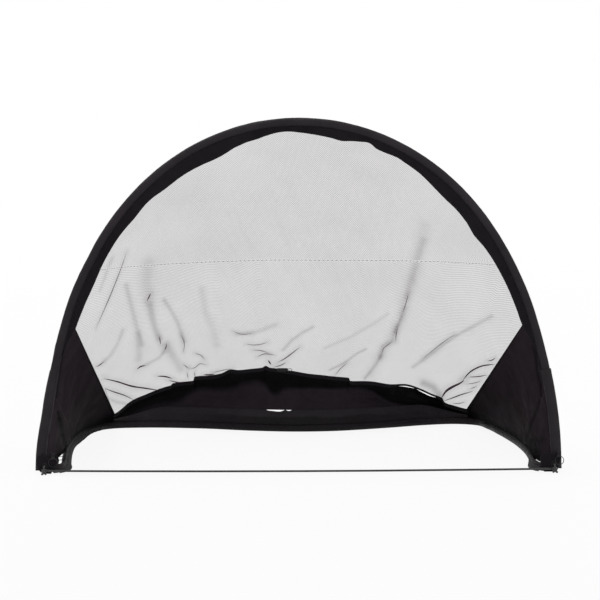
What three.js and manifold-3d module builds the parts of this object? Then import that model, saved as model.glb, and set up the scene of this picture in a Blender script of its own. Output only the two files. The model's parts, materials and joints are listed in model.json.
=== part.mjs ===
// A pop-up soccer goal. One hoop of flat spring steel runs in a fabric sleeve: its front half stands
// as the goal mouth, its rear half lies on the floor. A net in two panels, two side gussets and a
// back skirt close the space between them. Millimetres, +X right, +Y back, +Z up.
import * as THREE from 'three';
import Module from 'manifold-3d';
import { mergeVertices } from 'three/addons/utils/BufferGeometryUtils.js';

const wasm = await Module();
wasm.setup();

// Driving dimensions of the hoop
const goalWidth = 1200; // over the sleeves of the two legs
const archReach = 815; // from the fold line to the outer top edge, along the leaning arch
const archLean = 10; // degrees back from upright
const archPower = 2.12; // of the superellipse that the mouth follows
const foldHeight = 12; // of the fold line above the floor
const footDrop = 6; // how far a leg reaches past the fold line
const gap = 0.3; // between pieces that touch
const seamGap = 1.2; // between the edges of two sheets that are sewn together

const sleeveWidth = 20; // across the flat of the sleeve
const sleeveDepth = 14; // through it
const channelWidth = 14; // the hollow that holds the spring
const channelDepth = 7;
const springWidth = 6;
const springThick = 1.5;
const facingWidth = 18;
const facingThick = 2;
const cuffHeight = 225;
const cuffThick = 2;

// Driving dimensions of the ground loop and what stands on it
const loopHalfWidth = 566;
const loopDepth = 800;
const bendStraight = 8; // of sleeve across the corner before it turns back
const bandStart = 0.5; // above the ground sleeve, so the band never rubs on it
const bandHeight = 37;
const bandThick = 1.6;
const bandEndShare = 0.2; // of the band's height where it runs out at the gussets
const bandTaperShare = 0.15; // of the skirt's span, over which the band drops to that
const slitLength = 74; // of open seam, through which the hoop is joined
const slitHeight = 6;
const skirtLean = 45; // how far the skirt's top leans in over the ground loop
const skirtPeak = 178; // height of the skirt's top edge at its highest point
const skirtThick = 1.6;
const hemWidth = 10;
const hemThick = 1.6;
const gussetRise = 318; // up the leg from the fold line, to where the gusset's seam ends
const gussetStartShare = 0.045; // of the leg and of the rail, left open beside the corner
const gussetFootShare = 0.4; // of the bend at the corner, from where the rail's edge runs
const gussetRailPower = 24; // how late the rail's edge lifts off the ground sleeve
const gussetThick = 1.4;
const gussetBow = 9; // how far a gusset bows in at its middle
const netThick = 1.2;
const netSag = 26;
const netHemGap = 2.5; // from the hem's edge up to the net's
const netSeamHeight = 478;
const seamTapeWidth = 6;
const seamTapeThick = 1.2;
const netFoldDepth = 9;
const netFoldCount = 9;
const skirtFoldDepth = 5;
const skirtFoldCount = 7;
const ferruleLength = 50;
const ferruleThick = 0.6;

// Driving dimensions of the corner pieces
const bootWidth = 48;
const bootHeight = 44;
const bootThick = 2;
const bootLift = 0.5;
const bootCorner = 12;
const eyeletRadius = 8.5;
const eyeletHole = 3.4;
const eyeletBarrel = 4.4;
const eyeletFlange = 1.6;
const eyeletInset = 17; // from the outer side of the leg
const eyeletHeight = 18;
const ringRadius = 10;
const ringWire = 0.8;
const ringInsetLeft = 37; // from the leg's outer side to the ring's middle
const ringInsetRight = 6;
const tabHole = 2.1;
const tabThick = 1.1;
const tabWidth = 8;
const tabTail = 12;
const tabHeight = 37; // of the hole that the ring hangs in
const cordRadius = 2.3;
const knotWidth = 15;
const knotDepth = 12;
const knotHeight = 10;
const knotLift = 9; // of a knot's middle above the floor
const tailLength = 26;
const tailSpread = 9; // how far a tail's end lies to the side of its knot
const stowTilt = 12; // degrees that the stow tab leans forward of the net
const patchLegShare = 0.53; // how far up the gusset the patch reaches on the leg
const patchRailShare = 0.33; // and how far back on the rail
const patchMargin = 0.03; // of a line from leg to rail, left clear at each end
const patchLift = 1.4; // off the gusset, so that the facets of the two clear each other
const patchThick = 1.5;
const stowTabWidth = 27;
const stowTabHeight = 15;
const stowTabThick = 2;
const stowSeat = 5; // how far the stow tab reaches down over the hem
const stowLoopRadius = 5.5;
const stowLoopWire = 0.9;

// How finely round and swept pieces are faceted
const sleeveSides = 14;
const archSteps = 46;
const railSteps = 46;
const bendSteps = 6;
const bendReach = 100;
const netRows = 12;
const upperRows = 8;
const skirtRows = 6;
const gussetColumns = 12;
const gussetRows = 8;
const cordSides = 8;
const cordSteps = 78;
const tailSteps = 6;
const riserSteps = 10;
const knotSides = 12;
const knotRings = 8;
const patchColumns = 8;
const patchRows = 6;
const bootArcSteps = 8;
const tabArcSteps = 4;
const ringSteps = 28;
const ringSides = 6;
const routeDivisions = 600;
const halvings = 30; // of a span in which a crossing is sought
const nudge = 1e-3; // of a turn or a share, for the slope of a curve

// Where the ground loop's centre line runs, left front to right front, as shares of its half width
// and depth. The two rear corners bulge and the middle is drawn in by the skirt.
const loopRouteShares = [
  [-0.975, 0.01], [-0.965, 0.05], [-0.977, 0.175], [-0.995, 0.3375], [-1, 0.4875],
  [-0.991, 0.65], [-0.959, 0.8], [-0.869, 0.9025], [-0.707, 0.9275], [-0.442, 0.9025],
  [-0.194, 0.844], [0, 0.819], [0.194, 0.83], [0.442, 0.8975], [0.654, 0.969],
  [0.795, 0.99], [0.892, 0.956], [0.929, 0.8625], [0.954, 0.7375], [0.975, 0.6],
  [0.989, 0.45], [0.988, 0.275], [0.9735, 0.125], [0.966, 0.05], [0.975, 0.01],
];
// The skirt's top edge between the two gusset seams: how far along, and how high
const hemHeightShares = [
  [0, 0.237], [0.05, 0.43], [0.1, 0.55], [0.15, 0.66], [0.2, 0.74], [0.25, 0.81], [0.3, 0.86],
  [0.35, 0.925], [0.41, 0.975], [0.44, 0.985], [0.49, 0.945], [0.53, 0.9], [0.58, 0.86],
  [0.64, 0.79], [0.7, 0.745], [0.75, 0.69], [0.8, 0.675], [0.85, 0.585], [0.9, 0.46],
  [0.95, 0.325], [1, 0.25],
];
// Where the skirt ends on the ground loop, as shares of the loop's length from its left end
const skirtSpanShares = [0.296, 0.684];

// Colours and finishes
const fabric = { color: 0x242125, roughness: 0.72, metalness: 0 };
const darkFabric = { color: 0x151315, roughness: 0.8, metalness: 0 };
const netting = { color: 0xcfcdd0, roughness: 0.85, metalness: 0 };
const webbing = { color: 0x1b1a1c, roughness: 0.85, metalness: 0 };
const steel = { color: 0x84878b, roughness: 0.35, metalness: 1 };
const wire = { color: 0x77787a, roughness: 0.3, metalness: 1 };

const lean = THREE.MathUtils.degToRad(archLean);
const half = (size) => size / 2;
const mix = THREE.MathUtils.lerp;
const vec = (x, y, z) => new THREE.Vector3(x, y, z);
const cuffHalfDepth = half(sleeveDepth) + gap + cuffThick;
const footRadius = Math.hypot(footDrop, cuffHalfDepth);

// Turns a mesh whose faces all point in inside out, by the sign of its volume.
function facingOut(position, index) {
  const corner = (i) => vec(position[3 * i], position[3 * i + 1], position[3 * i + 2]);
  let volume = 0;
  for (let i = 0; i < index.length; i += 3) {
    const [a, b, c] = [corner(index[i]), corner(index[i + 1]), corner(index[i + 2])];
    volume += a.dot(b.cross(c));
  }
  if (volume < 0) {
    for (let i = 0; i < index.length; i += 3) {
      [index[i + 1], index[i + 2]] = [index[i + 2], index[i + 1]];
    }
  }
  const geometry = new THREE.BufferGeometry();
  geometry.setAttribute('position', new THREE.Float32BufferAttribute(position, 3));
  geometry.setIndex(index);
  geometry.computeVertexNormals();
  return geometry;
}

// A section carried through stations, each { point, side, up }, with an open channel if it has one.
// A section is a list of Vector2, or a function of the station's number that gives one.
function sweep(stations, section, channel) {
  const position = [];
  const index = [];
  const at = (shape, i) => (typeof shape === 'function' ? shape(i) : shape);
  const addRings = (shape) => stations.map(({ point, side, up }, i) => {
    const start = position.length / 3;
    for (const p of at(shape, i)) {
      const v = point.clone().addScaledVector(side, p.x).addScaledVector(up, p.y);
      position.push(v.x, v.y, v.z);
    }
    return start;
  });
  const addWall = (rings, count, inside) => {
    for (let i = 0; i + 1 < rings.length; i += 1) {
      for (let j = 0; j < count; j += 1) {
        const k = (j + 1) % count;
        const [a, b, c, d] = [rings[i] + j, rings[i] + k, rings[i + 1] + k, rings[i + 1] + j];
        index.push(...(inside ? [a, c, b, a, d, c] : [a, b, c, a, c, d]));
      }
    }
  };
  const outer = addRings(section);
  const inner = channel ? addRings(channel) : [];
  const sides = at(section, 0).length;
  addWall(outer, sides, false);
  if (channel) addWall(inner, at(channel, 0).length, true);
  for (const end of [0, stations.length - 1]) {
    const rim = at(section, end);
    const hole = channel ? [at(channel, end)] : [];
    const flat = [...rim, ...hole.flat()];
    const node = (n) => (n < sides ? outer[end] + n : inner[end] + n - sides);
    for (const [a, b, c] of THREE.ShapeUtils.triangulateShape(rim, hole)) {
      const turn = flat[b].clone().sub(flat[a]).cross(flat[c].clone().sub(flat[a]));
      const outward = (turn > 0) === (end > 0);
      index.push(...(outward ? [node(a), node(b), node(c)] : [node(a), node(c), node(b)]));
    }
  }
  return facingOut(position, index);
}

// A sheet of even thickness whose middle surface runs through a grid of points.
function sheet(grid, thick) {
  const rows = grid.length;
  const columns = grid[0].length;
  const position = [];
  const index = [];
  const along = (i, j, di, dj) => {
    const a = grid[Math.min(i + di, rows - 1)][Math.min(j + dj, columns - 1)];
    const b = grid[Math.max(i - di, 0)][Math.max(j - dj, 0)];
    return a.clone().sub(b);
  };
  for (const offset of [half(thick), -half(thick)]) {
    for (let i = 0; i < rows; i += 1) {
      for (let j = 0; j < columns; j += 1) {
        const normal = along(i, j, 0, 1).cross(along(i, j, 1, 0)).normalize();
        const v = grid[i][j].clone().addScaledVector(normal, offset);
        position.push(v.x, v.y, v.z);
      }
    }
  }
  const back = rows * columns;
  const node = (i, j) => i * columns + j;
  for (let i = 0; i + 1 < rows; i += 1) {
    for (let j = 0; j + 1 < columns; j += 1) {
      const [a, b, c, d] = [node(i, j), node(i, j + 1), node(i + 1, j + 1), node(i + 1, j)];
      index.push(a, b, c, a, c, d);
      index.push(back + a, back + c, back + b, back + a, back + d, back + c);
    }
  }
  const rim = [];
  for (let j = 0; j < columns - 1; j += 1) rim.push(node(0, j));
  for (let i = 0; i < rows - 1; i += 1) rim.push(node(i, columns - 1));
  for (let j = columns - 1; j > 0; j -= 1) rim.push(node(rows - 1, j));
  for (let i = rows - 1; i > 0; i -= 1) rim.push(node(i, 0));
  rim.forEach((p, n) => {
    const q = rim[(n + 1) % rim.length];
    index.push(p, back + p, back + q, p, back + q, q);
  });
  return facingOut(position, index);
}

// The parameter steps from one value to another, both included
const steps = (count, from, to) => (
  Array.from({ length: count + 1 }, (_, i) => mix(from, to, i / count))
);

// The value between two others up to which a test holds
function lastWhere(from, to, holds) {
  let [low, high] = [from, to];
  for (let i = 0; i < halvings; i += 1) {
    const middle = half(low + high);
    if (holds(middle)) low = middle;
    else high = middle;
  }
  return half(low + high);
}

// An oval with its corners set so that a flat facet lies at its lowest and highest sides
const oval = (width, height, sides = sleeveSides) => Array.from({ length: sides }, (_, i) => {
  const angle = (2 * Math.PI * (i + 0.5)) / sides - half(Math.PI);
  const reach = Math.cos(Math.PI / sides);
  return new THREE.Vector2(half(width) * Math.cos(angle), half(height) * Math.sin(angle) / reach);
});
const box = (width, height, x = 0, y = 0) => [[-1, -1], [1, -1], [1, 1], [-1, 1]].map(([a, b]) => (
  new THREE.Vector2(x + half(a * width), y + half(b * height))
));

// A point of the mouth's outline in the arch's own plane, set in from the outer edge. turn runs from
// 0 at the right fold point over the top to pi at the left one.
function outline(turn, inset) {
  const place = (angle) => {
    const [c, s] = [Math.cos(angle), Math.sin(angle)];
    const power = 2 / archPower;
    const x = half(goalWidth) * Math.sign(c) * Math.abs(c) ** power;
    return new THREE.Vector2(x, archReach * Math.sign(s) * Math.abs(s) ** power);
  };
  const tangent = place(turn + nudge).sub(place(turn - nudge)).normalize();
  const inward = new THREE.Vector2(-tangent.y, tangent.x);
  return { at: place(turn).addScaledVector(inward, inset), inward };
}

// The turn at which the outline is so high above the fold line
const turnAt = (rise) => Math.sign(rise) * Math.asin((Math.abs(rise) / archReach) ** half(archPower));

// The turns that every piece along the arch shares, so that their facets lie side by side
const footTurn = turnAt(-footDrop);
const gussetTurn = turnAt(gussetRise);
const facingStart = cuffHeight + gap;
const marks = [cuffHeight, facingStart, gussetRise].map(turnAt);
const archTurns = [
  ...steps(archSteps, footTurn, Math.PI - footTurn),
  ...marks,
  ...marks.map((turn) => Math.PI - turn),
].sort((a, b) => a - b);
const turnsBetween = (from, to) => (
  archTurns.filter((turn, i) => turn >= from && turn <= to && turn !== archTurns[i - 1])
);

// Stations along the arch, in its own upright plane: side points in, up points back
function archStations(inset, from, to) {
  return turnsBetween(from, to).map((turn) => {
    const { at, inward } = outline(turn, inset);
    return { point: vec(at.x, 0, at.y), side: vec(inward.x, 0, inward.y), up: vec(0, 1, 0) };
  });
}

// A point of the leaning arch in the goal's frame: across, back from its plane, up along it
const onArch = (across, back, along) => vec(
  across,
  back * Math.cos(lean) + along * Math.sin(lean),
  foldHeight + along * Math.cos(lean) - back * Math.sin(lean),
);

// The ground loop's centre line. It starts straight across, beside the foot of the leg.
const loopStartX = half(goalWidth) - sleeveWidth - 2 * gap - cuffThick - gap;
const bootBack = footRadius + gap;
const loopStartY = half(sleeveDepth) + gap - bootBack;
const loopRoute = new THREE.CatmullRomCurve3([
  vec(-loopStartX, loopStartY, 0),
  vec(-loopStartX + bendStraight, loopStartY, 0),
  ...loopRouteShares.map(([x, y]) => vec(x * loopHalfWidth, y * loopDepth, 0)),
  vec(loopStartX - bendStraight, loopStartY, 0),
  vec(loopStartX, loopStartY, 0),
]);
loopRoute.arcLengthDivisions = routeDivisions;

// Stations along the ground loop: side points out of the loop, up points up
function loopStations(shares, outward, height) {
  return shares.map((share) => {
    const tangent = loopRoute.getTangentAt(share);
    const side = vec(-tangent.y, tangent.x, 0).normalize();
    const point = loopRoute.getPointAt(share).addScaledVector(side, outward);
    return { point: point.setZ(height), side, up: vec(0, 0, 1) };
  });
}

// The shares that every piece along the loop takes its stations from
const slitShare = 0.4735; // of the middle of the open seam, where the hoop is joined
const ferruleReach = half(ferruleLength) / loopRoute.getLength();
const slitReach = half(slitLength) / loopRoute.getLength();
const slitEdge = slitHeight / loopRoute.getLength();
const bendShare = bendReach / loopRoute.getLength();
const loopShares = [
  ...steps(bendSteps, 0, bendShare),
  ...steps(railSteps, bendShare, 1 - bendShare).slice(1, -1),
  ...steps(bendSteps, 1 - bendShare, 1),
  ...skirtSpanShares,
  ...[-1, 1].flatMap((hand) => [ferruleReach, slitReach, slitReach - slitEdge].map((reach) => (
    slitShare + hand * reach
  ))),
].sort((a, b) => a - b);
const sharesBetween = (from, to) => loopShares.filter((share) => share >= from && share <= to);

function piece(name, geometry, look) {
  const mesh = new THREE.Mesh(geometry, new THREE.MeshStandardMaterial(look));
  mesh.name = name;
  return mesh;
}

// A manifold solid from a geometry, and back
function solid(geometry) {
  const bare = geometry.clone();
  bare.deleteAttribute('normal');
  bare.deleteAttribute('uv');
  const merged = mergeVertices(bare.index ? bare.toNonIndexed() : bare);
  return new wasm.Manifold(new wasm.Mesh({
    numProp: 3,
    vertProperties: new Float32Array(merged.attributes.position.array),
    triVerts: new Uint32Array(merged.index.array),
  }));
}
function surface(body) {
  const { vertProperties, triVerts } = body.getMesh();
  return facingOut(Array.from(vertProperties), Array.from(triVerts));
}

// A round bar through a list of points, with closed ends
function bar(points, radius, count, sides = cordSides) {
  const curve = new THREE.CatmullRomCurve3(points);
  const shape = new THREE.Shape(oval(2 * radius, 2 * radius, sides));
  return new THREE.ExtrudeGeometry(shape, { extrudePath: curve, steps: count });
}

// A ring of wire round the Y axis
function wireRing(radius, wireRadius) {
  const rim = Array.from({ length: ringSides + 1 }, (_, i) => {
    const angle = (2 * Math.PI * i) / ringSides;
    return new THREE.Vector2(radius + wireRadius * Math.cos(angle), wireRadius * Math.sin(angle));
  });
  return new THREE.LatheGeometry(rim, ringSteps);
}

// The arch: spring, sleeve, facing and a cuff on each foot, in the arch's own upright plane
const arch = new THREE.Group();
const wholeArch = [footTurn, Math.PI - footTurn];
const channelEnd = half(sleeveWidth - channelWidth);

function makeArchSleeve() {
  const stations = archStations(half(sleeveWidth), ...wholeArch);
  const geometry = sweep(stations, oval(sleeveWidth, sleeveDepth), box(channelWidth, channelDepth));
  return piece('arch_sleeve', geometry, fabric);
}

function makeArchSpring() {
  const inset = channelEnd + gap + half(springThick);
  const stations = archStations(inset, ...wholeArch);
  return piece('arch_spring', sweep(stations, box(springThick, springWidth)), steel);
}

function makeArchFacing() {
  const inset = sleeveWidth + gap + half(facingWidth);
  const start = turnAt(facingStart);
  const stations = archStations(inset, start, Math.PI - start);
  return piece('arch_facing', sweep(stations, box(facingWidth, facingThick)), darkFabric);
}

function makeLegCuff(name, hand) {
  const [from, to] = [footTurn, turnAt(cuffHeight)];
  const turns = hand > 0 ? [from, to] : [Math.PI - to, Math.PI - from];
  const stations = archStations(half(sleeveWidth), ...turns);
  const grow = 2 * (gap + cuffThick);
  const outer = oval(sleeveWidth + grow, sleeveDepth + grow);
  const inner = oval(sleeveWidth + 2 * gap, sleeveDepth + 2 * gap);
  return piece(name, sweep(stations, outer, inner), fabric);
}

arch.add(
  makeArchSleeve(),
  makeArchSpring(),
  makeArchFacing(),
  makeLegCuff('leg_cuff_left', -1),
  makeLegCuff('leg_cuff_right', 1),
);
arch.rotation.x = -lean;
arch.position.z = foldHeight;

// The ground loop: spring, ferrule, sleeve and the band that stands on it along the back
const sleeveTop = sleeveWidth;

function makeGroundSleeve() {
  const stations = loopStations(loopShares, 0, half(sleeveWidth));
  const geometry = sweep(stations, oval(sleeveDepth, sleeveWidth), box(channelDepth, channelWidth));
  return piece('ground_sleeve', geometry, fabric);
}

const springOut = half(channelDepth) - 2 * gap - ferruleThick - half(springThick);
function makeGroundSpring() {
  const stations = loopStations(loopShares, springOut, half(sleeveWidth));
  return piece('ground_spring', sweep(stations, box(springThick, springWidth)), steel);
}

function makeFerrule() {
  const shares = sharesBetween(slitShare - ferruleReach, slitShare + ferruleReach);
  const stations = loopStations(shares, springOut, half(sleeveWidth));
  const inner = box(springThick + 2 * gap, springWidth + 2 * gap);
  const grow = 2 * (gap + ferruleThick);
  const outer = box(springThick + grow, springWidth + grow);
  return piece('spring_ferrule', sweep(stations, outer, inner), steel);
}

const bandFoot = sleeveTop + bandStart;
const skirtShares = sharesBetween(...skirtSpanShares);
const skirtAlong = skirtShares.map((share) => THREE.MathUtils.inverseLerp(...skirtSpanShares, share));
const bandTop = (along) => {
  const inner = THREE.MathUtils.smoothstep(Math.min(along, 1 - along), 0, bandTaperShare);
  return bandFoot + bandHeight * mix(bandEndShare, 1, inner);
};

// The band is lower over the open stretch of its seam to the skirt
function makeGroundBand() {
  const stations = loopStations(skirtShares, 0, bandFoot);
  const top = stations.map(({ point }, i) => {
    const open = Math.abs(skirtShares[i] - slitShare) < slitReach - half(slitEdge);
    return point.clone().setZ(bandTop(skirtAlong[i]) - (open ? slitHeight : 0));
  });
  return piece('ground_band', sheet([stations.map(({ point }) => point), top], bandThick), fabric);
}

// The skirt's lower and upper edges, from 0 at the left gusset seam to 1 at the right one
const hemCurve = new THREE.SplineCurve(
  hemHeightShares.map(([along, high]) => new THREE.Vector2(along, high * skirtPeak)),
);
const hemHeight = (along) => {
  const next = Math.max(1, hemHeightShares.findIndex(([x]) => x >= along));
  const [a, b] = [hemHeightShares[next - 1][0], hemHeightShares[next][0]];
  const t = (next - 1 + (along - a) / (b - a)) / (hemHeightShares.length - 1);
  return hemCurve.getPoint(Math.min(1, Math.max(0, t))).y;
};
function hemPoint(along, drop = 0) {
  const share = mix(...skirtSpanShares, along);
  const rise = hemHeight(along) / skirtPeak;
  const [{ point }] = loopStations([share], -skirtLean * rise, hemHeight(along) - drop);
  return point;
}

function makeSkirt() {
  const feet = loopStations(skirtShares, 0, 0).map(({ point }, i) => (
    point.setZ(bandTop(skirtAlong[i]) + seamGap)
  ));
  const grid = steps(skirtRows, 0, 1).map((rise) => skirtAlong.map((along, i) => {
    const top = hemPoint(along, hemWidth + seamGap);
    const low = feet[i].clone();
    const fold = Math.sin(Math.PI * rise) * Math.sin(2 * Math.PI * skirtFoldCount * along);
    const point = low.lerp(top, rise);
    point.y += skirtFoldDepth * fold * Math.sin(Math.PI * along);
    return point;
  }));
  return piece('back_skirt', sheet(grid, skirtThick), fabric);
}

function makeHem() {
  const grid = [hemWidth, 0].map((drop) => skirtAlong.map((along) => hemPoint(along, drop)));
  return piece('net_hem', sheet(grid, hemThick), darkFabric);
}

// The net: straight lines from the hem to the arch, sagging a little, with folds that fan up
// from the hem. along is 0 at the left gusset seam and 1 at the right one.
const netInset = sleeveWidth + gap + facingWidth + gap + half(netThick);
const netTurn = (along) => mix(Math.PI - gussetTurn, gussetTurn, along);
const netShares = turnsBetween(gussetTurn, Math.PI - gussetTurn).reverse().map((turn) => (
  THREE.MathUtils.clamp((Math.PI - gussetTurn - turn) / (Math.PI - 2 * gussetTurn), 0, 1)
));
function netTop(along) {
  const { at } = outline(netTurn(along), netInset);
  return onArch(at.x, 0, at.y);
}
function netFoot(along) {
  const point = hemPoint(along);
  point.z += netHemGap;
  return point;
}
function netPoint(along, rise) {
  const point = netFoot(along).lerp(netTop(along), rise);
  const held = Math.sqrt(Math.max(0, Math.sin(Math.PI * along)));
  const slack = 4 * rise * (1 - rise);
  point.z -= netSag * slack * held;
  const fan = Math.cos(2 * Math.PI * netFoldCount * along) * Math.sin(Math.PI * rise) * (1 - rise);
  point.y += netFoldDepth * fan * Math.sin(Math.PI * along);
  return point;
}
// How far up its line each column of the net reaches the level seam between the panels
function seamRise(along) {
  if (netTop(along).z <= netSeamHeight) return 1;
  return lastWhere(0, 1, (rise) => netPoint(along, rise).z < netSeamHeight);
}
function netGrid(shares, rowCount, from, to) {
  return steps(rowCount, 0, 1).map((row) => shares.map((along) => (
    netPoint(along, mix(from(along), to(along), row))
  )));
}
// The share at which the arch passes the height of the seam
const seamEnd = lastWhere(0, half(1), (along) => netTop(along).z < netSeamHeight);
const lineLength = (along) => netFoot(along).distanceTo(netTop(along));

const tapeReach = half(seamTapeWidth) + gap;
function makeNetLower() {
  const to = (along) => {
    const rise = seamRise(along);
    return rise < 1 ? Math.max(rise - tapeReach / lineLength(along), 0) : 1;
  };
  return piece('net_lower', sheet(netGrid(netShares, netRows, () => 0, to), netThick), netting);
}
const tapeEnd = seamEnd + seamTapeWidth / goalWidth;
const upperShares = [
  tapeEnd,
  ...netShares.filter((along) => along > tapeEnd && along < 1 - tapeEnd),
  1 - tapeEnd,
];
function makeNetUpper() {
  const from = (along) => seamRise(along) + tapeReach / lineLength(along);
  return piece('net_upper', sheet(netGrid(upperShares, upperRows, from, () => 1), netThick), netting);
}
function makeSeamTape() {
  const reach = (along) => half(seamTapeWidth) / lineLength(along);
  const grid = netGrid(upperShares, 1, (a) => seamRise(a) - reach(a), (a) => seamRise(a) + reach(a));
  return piece('net_seam_tape', sheet(grid, seamTapeThick), netting);
}

// The gussets: straight lines from the leg back to the rail, closed by the seam to the net
const cuffInset = sleeveWidth + gap + cuffThick + gap + half(gussetThick) + gap;
const facingInset = sleeveWidth + gap + facingWidth + gap + half(gussetThick) + gap;
const cuffShare = (cuffHeight - gap) / gussetRise;
const cuffStep = (facingInset - cuffInset) / gussetRise;
function gussetPoint(hand, along, across) {
  const beside = THREE.MathUtils.clamp((along - cuffShare + cuffStep) / cuffStep, 0, 1);
  const { at } = outline(turnAt(gussetRise * along), mix(cuffInset, facingInset, beside));
  const onLeg = onArch(hand * at.x, 0, at.y);
  const railEnd = hand < 0 ? skirtSpanShares[0] : 1 - skirtSpanShares[1];
  const share = mix(gussetFootShare * bendShare, railEnd, along);
  const height = mix(sleeveTop + seamGap, netFoot(hand < 0 ? 0 : 1).z, along ** gussetRailPower);
  const onRail = loopStations([hand < 0 ? share : 1 - share], 0, height)[0].point;
  const point = onLeg.lerp(onRail, across);
  const bow = Math.sin(Math.PI * across) * Math.sin(Math.PI * along);
  point.x -= hand * gussetBow * bow;
  return point;
}
function makeGusset(name, hand) {
  const seam = 1 - (2 * gap + netThick) / lineLength(0);
  const columns = [...steps(gussetColumns, gussetStartShare, seam), cuffShare - cuffStep, cuffShare];
  const grid = columns.sort((a, b) => a - b).map((along) => (
    steps(gussetRows, 0, 1).map((across) => gussetPoint(hand, along, across))
  ));
  return piece(name, sheet(grid, gussetThick), fabric);
}

// The layer of cloth in each gusset's lower front corner
function makePatch(name, hand) {
  const grid = steps(patchRows, 0, 1).map((up) => (
    steps(patchColumns, patchMargin, 1 - patchMargin).map((across) => {
      const top = mix(patchLegShare, patchRailShare, across);
      const point = gussetPoint(hand, mix(gussetStartShare, top, up), across);
      point.x -= hand * (half(gussetThick) + patchLift + half(patchThick));
      point.z += patchLift * across;
      return point;
    })
  ));
  return piece(name, sheet(grid, patchThick), fabric);
}

// A boot plate in front of each foot, which carries the eyelet and the ring's tab
const outerX = half(goalWidth);
function makeBoot(name, hand) {
  const [right, top] = [bootWidth - bootCorner, bootHeight - bootCorner];
  const shape = new THREE.Shape();
  shape.moveTo(0, 0).lineTo(bootWidth, 0).lineTo(bootWidth, top);
  shape.absarc(right, top, bootCorner, 0, half(Math.PI), false);
  shape.lineTo(bootCorner, bootHeight);
  shape.absarc(bootCorner, top, bootCorner, half(Math.PI), Math.PI, false);
  const hole = new THREE.Path();
  const across = hand > 0 ? bootWidth - eyeletInset : eyeletInset;
  hole.absarc(across, eyeletHeight - bootLift, eyeletBarrel + gap, 0, 2 * Math.PI, true);
  shape.holes.push(hole);
  const geometry = new THREE.ExtrudeGeometry(shape, {
    depth: bootThick, bevelEnabled: false, curveSegments: bootArcSteps,
  });
  geometry.rotateX(half(Math.PI));
  const left = hand > 0 ? outerX - bootWidth : -outerX;
  geometry.translate(left, -bootBack, bootLift);
  return piece(name, geometry, fabric);
}

const bootFront = bootBack + bootThick;
function makeEyelet(name, hand) {
  const back = -bootThick - half(eyeletFlange);
  const rim = [
    [eyeletHole, eyeletFlange], [eyeletHole, back], [eyeletBarrel, back], [eyeletBarrel, 0],
    [eyeletRadius, 0], [eyeletRadius, half(eyeletFlange)],
    [half(eyeletHole + eyeletRadius), eyeletFlange], [eyeletHole, eyeletFlange],
  ].map(([r, y]) => new THREE.Vector2(r, y));
  const geometry = new THREE.LatheGeometry(rim, ringSteps);
  geometry.rotateX(Math.PI);
  geometry.translate(hand * (outerX - eyeletInset), -bootFront - gap, eyeletHeight);
  return piece(name, geometry, wire);
}

const tabRound = tabHole + tabThick;
const ringX = (hand) => outerX - (hand < 0 ? ringInsetLeft : ringInsetRight);
const ringY = -bootFront - gap - tabRound;
function makeTab(name, hand) {
  const shape = new THREE.Shape();
  shape.absarc(0, 0, tabRound, -half(Math.PI), half(Math.PI), false);
  shape.absarc(0, 0, tabRound, half(Math.PI), 0.75 * Math.PI, false);
  shape.lineTo(-tabRound + tabThick, tabTail).lineTo(-tabRound, tabTail);
  shape.lineTo(-tabRound, 0);
  shape.absarc(0, 0, tabRound, Math.PI, 1.5 * Math.PI, false);
  const hole = new THREE.Path();
  hole.absarc(0, 0, tabHole, 0, 2 * Math.PI, true);
  shape.holes.push(hole);
  const geometry = new THREE.ExtrudeGeometry(shape, {
    depth: tabWidth, bevelEnabled: false, curveSegments: tabArcSteps,
  });
  // The side view's first axis becomes the front, its second stays up, and its depth runs across
  const turn = new THREE.Matrix4().makeBasis(vec(0, -1, 0), vec(0, 0, 1), vec(-1, 0, 0));
  geometry.applyMatrix4(turn);
  geometry.translate(hand * ringX(hand) + half(tabWidth), ringY, tabHeight);
  return piece(name, geometry, webbing);
}
function makeRing(name, hand) {
  const geometry = wireRing(ringRadius, ringWire);
  geometry.translate(hand * ringX(hand), ringY, tabHeight - ringRadius);
  return piece(name, geometry, wire);
}

// The tether cord is stretched between its two knots, just clear of the floor. Each knot sends one
// end up through the eyelet above it and lets the other hang down to the floor as a tail.
const knotX = outerX - eyeletInset;
const knotY = -bootFront - gap - eyeletFlange - gap - half(knotDepth);
function makeKnot(name, hand) {
  const ball = new THREE.SphereGeometry(half(knotWidth), knotSides, knotRings);
  ball.rotateX(half(Math.PI));
  ball.scale(1, knotDepth / knotWidth, knotHeight / knotWidth);
  ball.translate(hand * knotX, knotY, knotLift);
  const riser = bar([
    vec(hand * knotX, knotY, knotLift),
    vec(hand * knotX, knotY, knotLift + half(knotHeight)),
    vec(hand * knotX, knotY + cordRadius, eyeletHeight - half(cordRadius)),
    vec(hand * knotX, -bootFront - eyeletFlange, eyeletHeight),
    vec(hand * knotX, -bootBack, eyeletHeight),
  ], cordRadius, riserSteps);
  const tail = bar([
    vec(hand * knotX, knotY, knotLift),
    vec(hand * knotX, knotY - half(knotDepth), half(knotLift)),
    vec(hand * (knotX + half(tailSpread)), knotY - half(tailLength), cordRadius + 2 * gap),
    vec(hand * (knotX + tailSpread), knotY - tailLength, cordRadius + 2 * gap),
  ], cordRadius, tailSteps);
  const joined = solid(ball).add(solid(riser)).add(solid(tail));
  return piece(name, surface(joined), webbing);
}

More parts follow.
